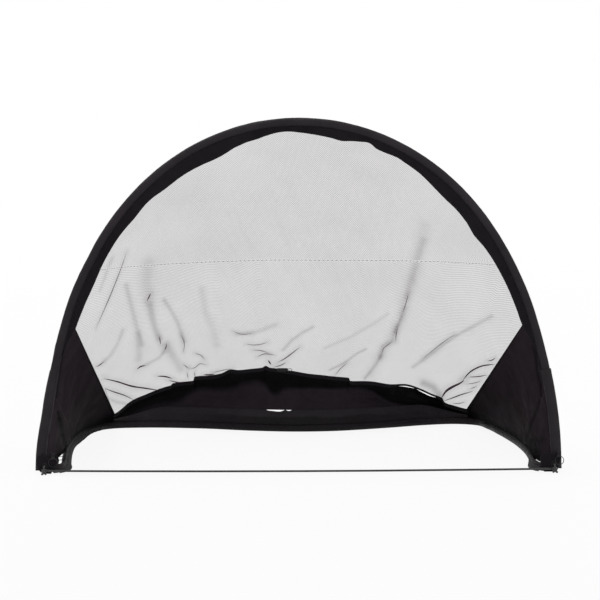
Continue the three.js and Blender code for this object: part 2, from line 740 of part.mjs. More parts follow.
const cordPoints = [
  [-575.2, -21.6, 8.6], [-520, -21.4, 8], [-455, -21.2, 7.4], [-385, -20.8, 6.8],
  [-310, -20.6, 6.4], [-235, -20.9, 6], [-155, -21.3, 5.8], [-75, -21.6, 5.7], [0, -21.8, 5.6],
  [80, -21.7, 5.7], [160, -21.4, 5.8], [240, -21, 6.1], [315, -20.8, 6.5], [390, -20.9, 7],
  [455, -21.2, 7.5], [520, -21.5, 8.1], [575.2, -21.6, 8.6],
];
function makeCord() {
  const points = cordPoints.map(([x, y, z]) => vec(x, y, z));
  return piece('tether_cord', bar(points, cordRadius, cordSteps), webbing);
}

// The stow tab and its loop stand on the hem, left of the middle, in front of the net
const stowShare = 0.47;
function makeStowTab() {
  const geometry = new THREE.BoxGeometry(stowTabWidth, stowTabThick, stowTabHeight);
  geometry.translate(0, 0, half(stowTabHeight));
  return piece('stow_tab', geometry, webbing);
}
function makeStowLoop() {
  const geometry = wireRing(stowLoopRadius, stowLoopWire);
  const across = half(stowTabWidth) + gap + stowLoopWire + stowLoopRadius;
  geometry.translate(across, 0, stowTabHeight - stowLoopRadius - stowLoopWire);
  return piece('stow_loop', geometry, webbing);
}
function makeStow() {
  const stow = new THREE.Group();
  stow.add(makeStowTab(), makeStowLoop());
  stow.position.copy(hemPoint(stowShare, stowSeat));
  stow.position.y -= half(hemThick) + gap + half(stowTabThick);
  const rise = netPoint(stowShare, seamRise(stowShare) / netRows).sub(netFoot(stowShare));
  const run = hemPoint(stowShare + nudge).sub(hemPoint(stowShare - nudge));
  const tilt = Math.atan2(-rise.y, rise.z) + THREE.MathUtils.degToRad(stowTilt);
  stow.rotation.set(tilt, 0, Math.atan2(run.y, run.x), 'ZXY');
  return stow;
}

// Everything but the free cord sets where the middle is
const goal = new THREE.Group();
goal.add(
  arch,
  makeGroundSleeve(),
  makeGroundSpring(),
  makeFerrule(),
  makeGroundBand(),
  makeSkirt(),
  makeHem(),
  makeNetLower(),
  makeNetUpper(),
  makeSeamTape(),
  makeStow(),
);
const sides = { left: -1, right: 1 };
for (const [side, hand] of Object.entries(sides)) {
  goal.add(
    makeGusset(`gusset_${side}`, hand),
    makePatch(`corner_patch_${side}`, hand),
    makeBoot(`corner_boot_${side}`, hand),
    makeEyelet(`eyelet_${side}`, hand),
    makeTab(`ring_tab_${side}`, hand),
    makeRing(`peg_ring_${side}`, hand),
  );
}
const space = new THREE.Box3().setFromObject(goal, true);
const middle = space.getCenter(vec(0, 0, 0));
goal.add(makeCord());
for (const [side, hand] of Object.entries(sides)) goal.add(makeKnot(`cord_knot_${side}`, hand));

// The origin is on the floor, in the middle of that space
goal.position.set(-middle.x, -middle.y, 0);

const part = new THREE.Group();
part.add(goal);

export default part;
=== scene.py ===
import json
import math

import bpy
import numpy as np
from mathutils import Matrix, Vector


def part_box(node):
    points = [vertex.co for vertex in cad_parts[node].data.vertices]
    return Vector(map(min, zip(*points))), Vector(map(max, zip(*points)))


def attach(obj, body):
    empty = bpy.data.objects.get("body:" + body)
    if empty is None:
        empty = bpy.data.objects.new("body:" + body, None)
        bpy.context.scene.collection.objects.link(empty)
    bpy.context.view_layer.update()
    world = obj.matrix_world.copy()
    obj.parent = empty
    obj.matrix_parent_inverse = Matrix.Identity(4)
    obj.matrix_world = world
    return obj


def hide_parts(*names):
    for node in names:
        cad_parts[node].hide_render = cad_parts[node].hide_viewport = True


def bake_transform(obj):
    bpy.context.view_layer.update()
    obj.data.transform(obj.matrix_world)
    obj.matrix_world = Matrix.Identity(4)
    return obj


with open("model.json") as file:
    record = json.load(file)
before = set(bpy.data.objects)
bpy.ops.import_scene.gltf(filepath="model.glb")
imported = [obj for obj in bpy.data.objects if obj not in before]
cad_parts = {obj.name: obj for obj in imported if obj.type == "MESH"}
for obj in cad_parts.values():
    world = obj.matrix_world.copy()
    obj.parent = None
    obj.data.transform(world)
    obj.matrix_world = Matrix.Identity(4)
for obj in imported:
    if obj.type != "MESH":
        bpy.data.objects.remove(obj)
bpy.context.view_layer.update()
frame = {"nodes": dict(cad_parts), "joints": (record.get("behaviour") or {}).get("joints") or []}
print("frame loaded")

# The goal's own sizes, in metres, as the part's source has them
goalWidth = 1.2
archReach = 0.815
archPower = 2.12
lean = math.radians(10)
footDrop = 0.006
gap = 0.0003
sleeveWidth = 0.02
sleeveDepth = 0.014
cuffHeight = 0.225
cuffThick = 0.002
loopHalfWidth = 0.566
loopDepth = 0.8
bandHeight = 0.037
bandEndShare = 0.2
bandTaperShare = 0.15
bandFoot = sleeveWidth + 0.0005
slitShare = 0.4735
slitLength = 0.074
slitHeight = 0.006
skirtLean = 0.045
skirtPeak = 0.178
hemWidth = 0.01
netCornerRise = {-1: 0.331, 1: 0.337}  # where the net leaves the arch, left and right
netSag = 0.026
netSeamHeight = 0.478
seamTapeWidth = 0.006
gussetFrontRise = -0.003
gussetFrontShare = {-1: 0.08, 1: 0.034}
gussetFrontLift = {-1: 0.003, 1: 0.0}
facingStart = 0.185
patchLegShare = 0.53
patchRailShare = 0.33
bootThick = 0.002
eyeletInset = 0.017
eyeletHeight = 0.018
cordDiameter = 0.0046

loopRoute = [
    (-0.975, 0.01), (-0.965, 0.05), (-0.977, 0.175), (-0.995, 0.3375), (-1, 0.4875),
    (-0.991, 0.65), (-0.959, 0.8), (-0.869, 0.9025), (-0.707, 0.9275), (-0.442, 0.9025),
    (-0.194, 0.844), (0, 0.819), (0.194, 0.83), (0.442, 0.8975), (0.654, 0.969),
    (0.795, 0.99), (0.892, 0.956), (0.929, 0.8625), (0.954, 0.7375), (0.975, 0.6),
    (0.989, 0.45), (0.988, 0.275), (0.9735, 0.125), (0.966, 0.05), (0.975, 0.01),
]
hemHeights = [
    (0, 0.237), (0.05, 0.43), (0.1, 0.55), (0.15, 0.66), (0.2, 0.74), (0.25, 0.81), (0.3, 0.86),
    (0.35, 0.925), (0.41, 0.975), (0.44, 0.985), (0.49, 0.945), (0.53, 0.9), (0.58, 0.86),
    (0.64, 0.79), (0.7, 0.745), (0.75, 0.69), (0.8, 0.675), (0.85, 0.585), (0.9, 0.46),
    (0.95, 0.325), (1, 0.25),
]
skirtSpan = (0.296, 0.684)

# The fold line of the arch is the joint's own
foldX, foldY, foldHeight = next(j["pos_m"] for j in frame["joints"] if j["name"] == "arch_fold")


# Sums that work on arrays, and the goal's own lines. Their points are in the shared frame

def mix(a, b, share):
    return a + (b - a) * share


def ease(value):
    value = np.clip(value, 0, 1)
    return value * value * (3 - 2 * value)


# A smooth curve through a table of (place, value) pairs
def through(table, at):
    places, values = np.array(table, float).T
    slopes = np.gradient(values, places)
    at = np.clip(at, places[0], places[-1])
    i = np.clip(np.searchsorted(places, at, side="right") - 1, 0, len(places) - 2)
    span = places[i + 1] - places[i]
    t = (at - places[i]) / span
    return (
        values[i] * (2 * t**3 - 3 * t**2 + 1) + values[i + 1] * (3 * t**2 - 2 * t**3)
        + span * (slopes[i] * (t**3 - 2 * t**2 + t) + slopes[i + 1] * (t**3 - t**2))
    )


def unit(v):
    return v / np.maximum(np.linalg.norm(v, axis=-1, keepdims=True), 1e-12)


# How far along a line of points each of them lies
def runOf(points):
    return np.concatenate([[0], np.cumsum(np.linalg.norm(np.diff(points, axis=0), axis=1))])


def ringAngles(sides):
    return np.linspace(0, 2 * math.pi, sides, endpoint=False)


# Random but fixed bumps between -1 and 1, one per unit of x and y
def bumps(x, y, seed):
    x, y = np.broadcast_arrays(np.asarray(x, float), np.asarray(y, float))
    left, low = np.floor(x), np.floor(y)

    def corner(a, b):
        value = np.sin(a * 127.1 + b * 311.7 + seed * 74.7) * 43758.5453
        return 2 * (value - np.floor(value)) - 1

    s, t = ease(x - left), ease(y - low)
    lowSide = mix(corner(left, low), corner(left + 1, low), s)
    highSide = mix(corner(left, low + 1), corner(left + 1, low + 1), s)
    return mix(lowSide, highSide, t)


def roughBumps(x, y, seed):
    return (
        bumps(x, y, seed) + bumps(2.1 * x, 2.1 * y, seed + 5) / 2
        + bumps(4.3 * x, 4.3 * y, seed + 9) / 4
    ) / 1.75


# The mouth's outline in the arch's own plane, set in from its outer edge, and the way in
def outline(turn, inset):
    turn = np.asarray(turn, float)
    power = 2 / archPower

    def place(angle):
        c, s = np.cos(angle), np.sin(angle)
        x = goalWidth / 2 * np.sign(c) * np.abs(c) ** power
        return np.stack([x, archReach * np.sign(s) * np.abs(s) ** power], -1)

    along = unit(place(turn + 1e-3) - place(turn - 1e-3))
    inward = np.stack([-along[..., 1], along[..., 0]], -1)
    inset = np.broadcast_to(np.asarray(inset, float), turn.shape)
    return place(turn) + inward * inset[..., None], inward


def turnAt(rise):
    return np.sign(rise) * np.arcsin((np.abs(rise) / archReach) ** (archPower / 2))


def onArch(across, back, along):
    across, back, along = np.broadcast_arrays(across, back, along)
    return np.stack([
        across + foldX,
        back * math.cos(lean) + along * math.sin(lean) + foldY,
        foldHeight + along * math.cos(lean) - back * math.sin(lean),
    ], -1)


footTurn = float(turnAt(-footDrop))
leftTurn, rightTurn = (float(turnAt(netCornerRise[hand])) for hand in (-1, 1))


# A line set in from the arch's outline, with the ways in and back from it
def archFrame(turns, inset):
    at, inward = outline(turns, inset)
    side = onArch(inward[:, 0], 0, inward[:, 1]) - onArch(0.0, 0, 0)
    up = np.broadcast_to([0, math.cos(lean), -math.sin(lean)], side.shape)
    return onArch(at[:, 0], 0, at[:, 1]), side, up


# Turns that lie evenly spaced along the arch, and how far along they are in metres
def evenTurns(count, start, end):
    dense = np.linspace(start, end, 20 * count)
    points, _ = outline(dense, 0)
    far = runOf(points)
    even = np.linspace(0, far[-1], count + 1)
    return np.interp(even, far, dense), even


# The ground loop's centre line, as a dense table of places, ways out and lengths
def makeLoop():
    cuffHalf = sleeveDepth / 2 + gap + cuffThick
    footRadius = math.hypot(footDrop, cuffHalf)
    startX = goalWidth / 2 - sleeveWidth - 3 * gap - cuffThick
    startY = sleeveDepth / 2 + gap - (footRadius + gap)
    knots = [(-startX, startY), (-startX + 0.008, startY)]
    knots += [(x * loopHalfWidth, y * loopDepth) for x, y in loopRoute]
    knots += [(startX - 0.008, startY), (startX, startY)]
    knots = np.array(knots)
    knots = np.vstack([2 * knots[0] - knots[1], knots, 2 * knots[-1] - knots[-2]])
    points = []
    t = np.linspace(0, 1, 220, endpoint=False)[:, None]
    for p0, p1, p2, p3 in zip(knots, knots[1:], knots[2:], knots[3:]):
        d0, d1, d2 = (np.linalg.norm(b - a) ** 0.5 for a, b in ((p0, p1), (p1, p2), (p2, p3)))
        m1 = ((p1 - p0) / d0 - (p2 - p0) / (d0 + d1) + (p2 - p1) / d1) * d1
        m2 = ((p2 - p1) / d1 - (p3 - p1) / (d1 + d2) + (p3 - p2) / d2) * d1
        points.append(
            p1 + m1 * t + (3 * (p2 - p1) - 2 * m1 - m2) * t**2 + (2 * (p1 - p2) + m1 + m2) * t**3
        )
    points = np.vstack([*points, knots[-2:-1]])
    along = unit(np.gradient(points, axis=0))
    far = runOf(points)
    return points + [foldX, foldY], np.stack([-along[:, 1], along[:, 0]], -1), far


loopPoints, loopOut, loopFar = makeLoop()
loopLength = loopFar[-1]


def onLoop(share, outward, height):
    share, outward, height = np.broadcast_arrays(share, outward, height)
    far = share * loopLength
    side = unit(np.stack([np.interp(far, loopFar, loopOut[:, k]) for k in (0, 1)], -1))
    flat = np.stack([np.interp(far, loopFar, loopPoints[:, k]) for k in (0, 1)], -1)
    flat = flat + side * outward[..., None]
    return np.concatenate([flat, height[..., None]], -1)


def bandTop(along):
    inner = ease(np.clip(np.minimum(along, 1 - along), 0, 1) / bandTaperShare)
    return bandFoot + bandHeight * mix(bandEndShare, 1, inner)


# The open stretch of the band's seam: it gapes for most of its length and again at its end
slitGape = [
    (-0.037, 0), (-0.031, 0.0014), (-0.02, 0.0024), (-0.006, 0.0036), (0.003, 0.0034),
    (0.009, 0.0014), (0.013, 0), (0.018, 0), (0.023, 0.0016), (0.028, 0.0014), (0.032, 0),
]


def slitEdge(shares):
    away = np.abs(shares - slitShare) * loopLength
    return ease((slitLength / 2 - away) / 0.014 + 0.6)


def slitGap(shares):
    gape = np.clip(through(slitGape, (shares - slitShare) * loopLength), 0, slitHeight)
    return gape - 0.0008 * (gape <= 0) * slitEdge(shares)


def hemHeight(along):
    places, highs = np.array(hemHeights).T
    along = np.clip(along, 0, 1)
    k = np.clip(np.searchsorted(places, along) - 1, 0, len(places) - 2)
    t = (along - places[k]) / (places[k + 1] - places[k])
    p0, p1, p2, p3 = (highs[np.clip(k + n, 0, len(highs) - 1)] for n in (-1, 0, 1, 2))
    v0, v1 = (p2 - p0) / 2, (p3 - p1) / 2
    cubic = (2 * p1 - 2 * p2 + v0 + v1) * t**3 + (3 * (p2 - p1) - 2 * v0 - v1) * t**2
    return skirtPeak * (cubic + v0 * t + p1)


# Metres along the back, from the left gusset seam
def backRun(along):
    return along * (skirtSpan[1] - skirtSpan[0]) * loopLength


# Small steps and humps in the hem: where along it, how high, over what width, and whether a step
hemSteps = [
    (0.165, 0.004, 0.006, True), (0.229, 0.01, 0.004, True), (0.337, 0.006, 0.016, False),
    (0.43, 0.005, 0.006, False), (0.632, -0.008, 0.005, True), (0.925, -0.009, 0.012, True),
]


def hemStep(along):
    lift = np.zeros_like(along, dtype=float)
    for place, high, width, isStep in hemSteps:
        if isStep:
            fade = np.exp(-(((along - place) / 0.03) ** 2))
            lift = lift + high * (ease((along - place) / width + 0.5) - 0.5) * fade
        else:
            lift = lift + high * np.exp(-(((along - place) / width) ** 2))
    return lift


# The skirt's top edge: along is 0 at the left gusset seam and 1 at the right one
def hemPoint(along, drop=0.0):
    high = hemHeight(along) + hemStep(along)
    return onLoop(mix(*skirtSpan, along), -skirtLean * high / skirtPeak, high - drop)


# How far in from the outer edge the facing ends, in millimetres, over the turn in degrees from
# the right foot to the left. It is slack at the shoulders and drawn tight over the top.
facingEdge = [
    (0, 27), (17, 26), (19.5, 28), (21.5, 35), (22.8, 38.5), (26, 39.5), (30, 40), (34, 41),
    (37, 43), (39.5, 45), (42.5, 49.5), (46, 46), (49, 45.5), (52, 47.5), (56, 46), (60, 41.5),
    (64, 39.5), (67, 38), (70, 40.5), (72, 40), (74, 33.5), (76, 36.5), (78, 40.5), (80.5, 46),
    (83, 43.5), (87, 39.5), (90, 35.5), (92.5, 32.5), (96, 36.5), (99, 42.5), (102, 45),
    (104.5, 48.5), (108, 56), (111, 57.5), (114, 55), (119, 52.5), (124, 51.5), (128, 46),
    (134, 46.5), (136, 44.5), (144, 43.5), (149, 45.5), (153, 44), (156, 42.5), (158, 40.5),
    (160, 34), (163, 28), (166, 27), (180, 27),
]
# How far in from its plain outline the sleeve hangs, in millimetres over the same turn
sleeveEdge = [
    (0, 0), (8, 0), (14, 1.6), (18, 2.2), (22, 1.8), (26, 0.4), (32, 0), (40, -0.8), (50, -0.8),
    (55, 0), (60, 0.8), (70, 1.5), (78, 1.6), (84, 0.8), (90, 0.4), (96, 1), (102, 2.2), (108, 3),
    (116, 3.2), (125, 3.3), (138, 3.3), (141, 3.7), (144, 5), (148.7, 4.4), (151, 4.3),
    (154, 4.9), (157, 5.7), (159, 6.4), (161.5, 6.7), (164, 7.6), (166, 7.4), (168.5, 6),
    (170.5, 4.4), (173, 2.2), (175, -0.5), (178, -2.6), (180, -2.6),
]


def facingReach(turn):
    turn = np.asarray(turn, float)
    slack = through(facingEdge, np.degrees(turn)) / 1000
    return slack + 0.0004 * roughBumps(turn * 21, 0.3, 4)


def sleeveIn(turn):
    return through(sleeveEdge, np.degrees(turn)) / 1000


def netTurn(along):
    return mix(math.pi - leftTurn, rightTurn, along)


def netTop(along):
    turn = netTurn(along)
    at, _ = outline(turn, facingReach(turn) - 0.0006)
    return onArch(at[..., 0], 0, at[..., 1])


def netFoot(along):
    return hemPoint(along, 0.0008)


# The net without its folds: straight lines from the hem to the arch that sag a little
def netPoint(along, rise):
    along, rise = np.broadcast_arrays(np.asarray(along, float), np.asarray(rise, float))
    point = mix(netFoot(along), netTop(along), rise[..., None])
    held = np.sqrt(np.clip(np.sin(math.pi * along), 0, 1))
    point[..., 2] -= netSag * 4 * rise * (1 - rise) * held
    return point


# The facing starts behind the cuff's top and is drawn in there
def legReach(turn):
    rise = archReach * np.abs(np.sin(turn)) ** (2 / archPower)
    low = sleeveWidth + cuffThick + sleeveIn(turn)
    return mix(low, facingReach(turn), ease((rise - facingStart) / 0.05))


# A gusset: straight lines from the leg back to the rail. Its front line runs from the leg's foot
# to the rail, and its last one follows the net's edge and then drops to the rail
def gussetPoint(hand, along, across):
    along, across = np.broadcast_arrays(np.asarray(along, float), np.asarray(across, float))
    turn = turnAt(mix(gussetFrontRise, netCornerRise[hand], along))
    tucked = 0.005 * (1 - ease(across / 0.02)) * ease((0.7 - along) / 0.1)
    at, _ = outline(turn, legReach(turn if hand > 0 else math.pi - turn) - 0.0012 - tucked)
    onLeg = onArch(hand * at[..., 0], 0, at[..., 1])
    seam = 0.0 if hand < 0 else 1.0
    railEnd = skirtSpan[0] if hand < 0 else 1 - skirtSpan[1]
    share = mix(gussetFrontShare[hand], railEnd, along)
    above = 0.0002 + gussetFrontLift[hand] * np.clip(1 - along, 0, 1) ** 8
    onRail = onLoop(share if hand < 0 else 1 - share, 0, sleeveWidth + above)
    point = mix(onLeg, onRail, across[..., None])
    point[..., 0] -= hand * 0.009 * np.sin(math.pi * across) * np.sin(math.pi * along)
    corner, low = netFoot(seam), onLoop(railEnd if hand < 0 else 1 - railEnd, 0, sleeveWidth)
    turnOff = 0.965
    downNet = mix(netTop(seam), corner, np.clip(across / turnOff, 0, 1)[..., None])
    down = mix(corner, low, np.clip((across - turnOff) / (1 - turnOff), 0, 1)[..., None])
    end = np.where((across < turnOff)[..., None], downNet, down)
    return mix(point, end, (along**9)[..., None])


# Meshes. A Pile collects grids of points, with their UVs in metres, into one piece

class Pile:
    def __init__(self):
        self.points, self.faces, self.uvs, self.slots, self.gatherAndShadeValues = [], [], [], [], []
        self.count = 0

    def add(self, points, faces, uvs, slot, gather):
        self.points.append(points)
        self.gatherAndShadeValues.append(np.broadcast_to(gather, (len(points),)))
        self.faces += [tuple(int(n) + self.count for n in face) for face in faces]
        self.uvs += list(uvs)
        self.slots += [slot] * len(faces)
        self.count += len(points)

    # A grid of rows and columns. closed joins the last column to the first, capped fills the ends
    def grid(self, points, uv, slot=0, closed=False, capped=False, gather=0.0, flip=False):
        rows, columns = points.shape[:2]
        i, j = np.meshgrid(
            np.arange(rows - 1), np.arange(columns if closed else columns - 1), indexing="ij"
        )
        i, j = i.ravel(), j.ravel()
        k = (j + 1) % columns
        faces = np.stack(
            [i * columns + j, i * columns + k, (i + 1) * columns + k, (i + 1) * columns + j], -1
        )
        corners = [uv[i, j], uv[i, j + 1], uv[i + 1, j + 1], uv[i + 1, j]]
        loops = np.stack(corners, 1)
        if flip:
            faces, loops = faces[:, ::-1], loops[:, ::-1]
        faces, loops = faces.tolist(), [c for face in loops.tolist() for c in face]
        if closed and capped:
            ring = list(range(columns))
            last = [n + (rows - 1) * columns for n in ring]
            for face, row in ((ring[::-1], 0), (last, rows - 1)):
                face = face[::-1] if flip else face
                faces.append(face)
                loops += [uv[row, n % columns].tolist() for n in face]
        gather = np.broadcast_to(gather, (rows, columns)).ravel()
        self.add(points.reshape(-1, 3), faces, loops, slot, gather)

    # A cloth of even thickness about a grid of middle points
    def cloth(self, points, thick, gather=0.0):
        uv = clothUv(points)
        across = np.gradient(points, axis=1)
        up = np.gradient(points, axis=0)
        normal = unit(np.cross(across, up))
        front, back = points + normal * thick / 2, points - normal * thick / 2
        gather = np.broadcast_to(gather, points.shape[:2])
        self.grid(front, uv, gather=gather)
        self.grid(back, uv, gather=gather, flip=True)
        edge = lambda a: np.concatenate([a[0], a[1:, -1], a[-1, -2::-1], a[-2:0:-1, 0]])
        rim = np.stack([edge(back), edge(front)])
        around = np.concatenate([edge(uv), edge(uv)[:1]])
        rimGatherAndShade = np.stack([edge(gather), edge(gather)])
        rimUv = np.stack([around, around + [0, thick]])
        self.grid(rim, rimUv, closed=True, gather=rimGatherAndShade)

    # Each point's value goes into the attribute named by mark: how much the net is gathered on the
    # net, and how much painted shade there is on the black cloths
    def make(self, name, materials, mark="gather"):
        mesh = bpy.data.meshes.new(name)
        mesh.from_pydata(np.concatenate(self.points).tolist(), [], self.faces)
        mesh.uv_layers.new(name="UVMap").data.foreach_set(
            "uv", np.array(self.uvs, np.float32).ravel()
        )
        gather = mesh.attributes.new(mark, "FLOAT", "POINT")
        gather.data.foreach_set("value", np.concatenate(self.gatherAndShadeValues).astype(np.float32))
        for material in materials:
            mesh.materials.append(material)
        mesh.polygons.foreach_set("material_index", self.slots)
        mesh.polygons.foreach_set("use_smooth", [True] * len(self.faces))
        mesh.update()
        mesh.validate()
        piece = bpy.data.objects.new(name, mesh)
        bpy.context.scene.collection.objects.link(piece)
        return piece


towardsFront = (0, -1.0, 0)


# UVs that follow a grid's own lengths, so that a weave keeps its size on it
def clothUv(points, closed=False):
    ring = np.concatenate([points, points[:, :1]], 1) if closed else points
    u = np.cumsum(np.linalg.norm(np.diff(ring, axis=1), axis=2), axis=1)
    u = np.concatenate([np.zeros((len(ring), 1)), u], 1)
    u = u - u[:, -1:] / 2
    v = np.cumsum(np.linalg.norm(np.diff(ring, axis=0), axis=2), axis=0)
    v = np.concatenate([np.zeros((1, ring.shape[1])), v], 0)
    return np.stack([u, v], -1)


# A tube about a line of points, across wide along side and high along up. swell scales each
# point of its section
def tube(pile, centre, side, up, across, high, sides, swell=1.0, gather=0.0):
    angle = ringAngles(sides)
    size = np.broadcast_to(swell, (len(centre), sides))
    x = across / 2 * np.cos(angle) * size
    y = high / 2 * np.sin(angle) * size
    points = centre[:, None] + side[:, None] * x[..., None] + up[:, None] * y[..., None]
    pile.grid(points, clothUv(points, True), closed=True, capped=True, gather=gather)
    return points


# A round cord through points, with frames that don't twist
def roundTube(pile, points, radius, sides=12, swell=1.0):
    along = unit(np.gradient(points, axis=0))
    side = np.zeros_like(points)
    start = np.cross(along[0], [0, 0, 1.0])
    if np.linalg.norm(start) < 0.1:
        start = np.cross(along[0], [1.0, 0, 0])
    side[0] = unit(start)
    for n in range(1, len(points)):
        side[n] = unit(side[n - 1] - along[n] * np.dot(side[n - 1], along[n]))
    up = np.cross(side, along)
    tube(pile, points, side, up, 2 * radius, 2 * radius, sides, swell)


# A smooth line through a few points, as count points in even steps
def smoothLine(points, count):
    points = np.asarray(points, float)
    far = runOf(points)
    dense = np.linspace(0, far[-1], 12 * count)
    line = np.stack([through(np.stack([far, points[:, k]], -1), dense) for k in range(3)], -1)
    run = runOf(line)
    even = np.linspace(0, run[-1], count)
    return np.stack([np.interp(even, run, line[:, k]) for k in range(3)], -1)


# A row of stitches along a line of points, lifted off the cloth along its way out. They take the
# second of their piece's materials
def stitches(pile, line, out, lift=0.0, pitch=0.0036, length=0.0026, radius=0.00032):
    out = np.broadcast_to(out, line.shape)
    line = line + out * lift
    far = runOf(line)
    starts = np.arange(pitch / 2, far[-1] - length, pitch)
    at = lambda table, s: np.stack([np.interp(s, far, table[:, k]) for k in range(3)], -1)
    rises = [-0.9, 0.55, 0.7, 0.55, -0.9]
    angle = ringAngles(5)
    for start in starts:
        s = start + np.linspace(0, length, 5)
        centre, normal = at(line, s), unit(at(out, s))
        centre = centre + normal * (radius * np.array(rises))[:, None]
        along = unit(np.gradient(centre, axis=0))
        side = unit(np.cross(along, normal))
        up = np.cross(side, along)
        size = radius * np.array([0.5, 1, 1, 1, 0.5])[:, None]
        ring = (
            centre[:, None] + side[:, None] * (np.cos(angle) * size)[..., None]
            + up[:, None] * (np.sin(angle) * size)[..., None]
        )
        uv = np.zeros((5, 6, 2)) + [start, 0]
        pile.grid(ring, uv, 1, closed=True, capped=True)


# A fabric piece between the ground loop and the arch has its place baked into its mesh, and its
# points are read back
def foldAlong(piece):
    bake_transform(piece)
    count = len(piece.data.vertices)
    places = np.empty(3 * count)
    piece.data.vertices.foreach_get("co", places)
    places = places.reshape(-1, 3)


# The camera stands where the photograph was taken from
view = {
    "place": (-0.108, -4.3483, 0.6563),
    "tilt": -0.06578,  # from level, and the turn from straight ahead, in radians
    "turn": -0.02685,
    "lens": 104.51,
    "sensor": 36,
    "frame": 600,  # the photograph's width and height in pixels
}


def makeCamera():
    camera = bpy.data.objects.new("camera", bpy.data.cameras.new("camera"))
    bpy.context.scene.collection.objects.link(camera)
    camera.location = view["place"]
    camera.rotation_euler = (math.pi / 2 + view["tilt"], 0, view["turn"])
    camera.data.lens = view["lens"]
    camera.data.sensor_width = view["sensor"]
    camera.data.dof.use_dof = False
    camera.data.clip_end = 60
    bpy.context.scene.camera = camera


makeCamera()
print("camera placed")


# Where a point lies in the photograph's frame, in pixels
def inPhoto(points):
    camera = bpy.context.scene.camera
    turned = np.array(camera.rotation_euler.to_matrix())
    seen = (np.asarray(points) - np.array(camera.location)) @ turned
    reach = view["frame"] * camera.data.lens / camera.data.sensor_width
    middle = view["frame"] / 2
    return np.stack([
        middle - reach * seen[..., 0] / seen[..., 2], middle + reach * seen[..., 1] / seen[..., 2],
    ], -1)


# How far points in the photograph's frame lie from a broken line there
def offLine(spots, line):
    line = np.array(line, float)
    best = np.full(spots.shape[:-1], 1e9)
    for a, b in zip(line, line[1:]):
        share = np.clip(((spots - a) @ (b - a)) / ((b - a) @ (b - a)), 0, 1)
        best = np.minimum(best, np.linalg.norm(spots - a - share[..., None] * (b - a), axis=-1))
    return best


# Materials

sockets = {
    "colour": "Base Color", "roughness": "Roughness", "alpha": "Alpha", "sheen": "Sheen Weight",
    "sheenRoughness": "Sheen Roughness", "specular": "Specular IOR Level",
    "glow": "Emission Color", "glowStrength": "Emission Strength",
}


class Nodes:
    def __init__(self, tree):
        self.tree = tree
        tree.nodes.clear()

    # Sets a node's sockets, each to a value or to another node's output
    def feed(self, node, inputs):
        for key, value in inputs.items():
            if isinstance(value, bpy.types.NodeSocket):
                self.tree.links.new(value, node.inputs[key])
            else:
                node.inputs[key].default_value = value

    def add(self, kind, inputs=None, **settings):
        node = self.tree.nodes.new(kind)
        for key, value in settings.items():
            setattr(node, key, value)
        self.feed(node, inputs or {})
        return node

    def math(self, operation, *values):
        inputs = dict(enumerate(values))
        return self.add("ShaderNodeMath", inputs, operation=operation).outputs[0]

    def mixed(self, amount, a, b):
        inputs = {"Factor": amount, "A": a, "B": b}
        return self.add("ShaderNodeMix", inputs, data_type="RGBA").outputs["Result"]

    # 1 for the camera's view, also in or through a shiny or clear surface, and 0 for other light
    def seen(self):
        path = self.add("ShaderNodeLightPath").outputs
        direct = self.math("MAXIMUM", path["Is Camera Ray"], path["Is Glossy Ray"])
        return self.math("MAXIMUM", direct, path["Is Transmission Ray"])


class Look(Nodes):
    def __init__(self, name, colour, roughness, metallic=0.0):
        self.material = bpy.data.materials.new(name)
        self.material.use_nodes = True
        super().__init__(self.material.node_tree)
        self.shader = self.add("ShaderNodeBsdfPrincipled", {
            "Base Color": (*colour, 1), "Roughness": roughness, "Metallic": metallic,
        })
        self.add("ShaderNodeOutputMaterial", {"Surface": self.shader.outputs[0]})

    # Sets sockets of the shader itself
    def set(self, **inputs):
        self.feed(self.shader, {sockets[key]: value for key, value in inputs.items()})

    # Noise over the object's own coordinates, mapped to a range
    def noise(self, scale, low, high, detail=3.0, stretch=(1, 1, 1)):
        place = self.add("ShaderNodeTexCoord").outputs["Object"]
        moved = self.add("ShaderNodeMapping", {"Vector": place, "Scale": stretch})
        noise = self.add("ShaderNodeTexNoise", {
            "Vector": moved.outputs[0], "Scale": scale, "Detail": detail, "Roughness": 0.55,
        })
        return self.add("ShaderNodeMapRange", {
            "Value": noise.outputs[0], "From Min": 0.3, "From Max": 0.7, "To Min": low,
            "To Max": high,
        }).outputs[0]

    # The colour varies between two shades of itself
    def shade(self, amount, dark, light):
        colour = self.mixed(amount, (*dark, 1), (*light, 1))
        self.set(colour=colour)
        return colour

    # Adds a height to the surface, on top of those that it has
    def bump(self, height, distance, strength=1.0):
        under = self.shader.inputs["Normal"]
        inputs = {"Height": height, "Distance": distance, "Strength": strength}
        if under.is_linked:
            inputs["Normal"] = under.links[0].from_socket
        node = self.add("ShaderNodeBump", inputs)
        self.tree.links.new(node.outputs[0], under)

    # A plain weave of threads a pitch apart: 1 on a thread's crown, 0 between threads
    def weave(self, pitch, turn=0.0):
        uv = self.add("ShaderNodeTexCoord").outputs["UV"]
        scale = (1 / pitch, 1 / pitch, 1)
        moved = self.add("ShaderNodeMapping", {
            "Vector": uv, "Scale": scale, "Rotation": (0, 0, turn),
        }).outputs[0]
        x, y, _ = self.add("ShaderNodeSeparateXYZ", {"Vector": moved}).outputs
        crown = [
            self.math("ABSOLUTE", self.math("SINE", self.math("MULTIPLY", a, math.pi)))
            for a in (x, y)
        ]
        checks = self.add("ShaderNodeTexChecker", {"Vector": moved, "Scale": 1.0})
        return self.add("ShaderNodeMix", {
            "Factor": checks.outputs["Fac"], "A": crown[0], "B": crown[1],
        }, data_type="FLOAT").outputs["Result"]


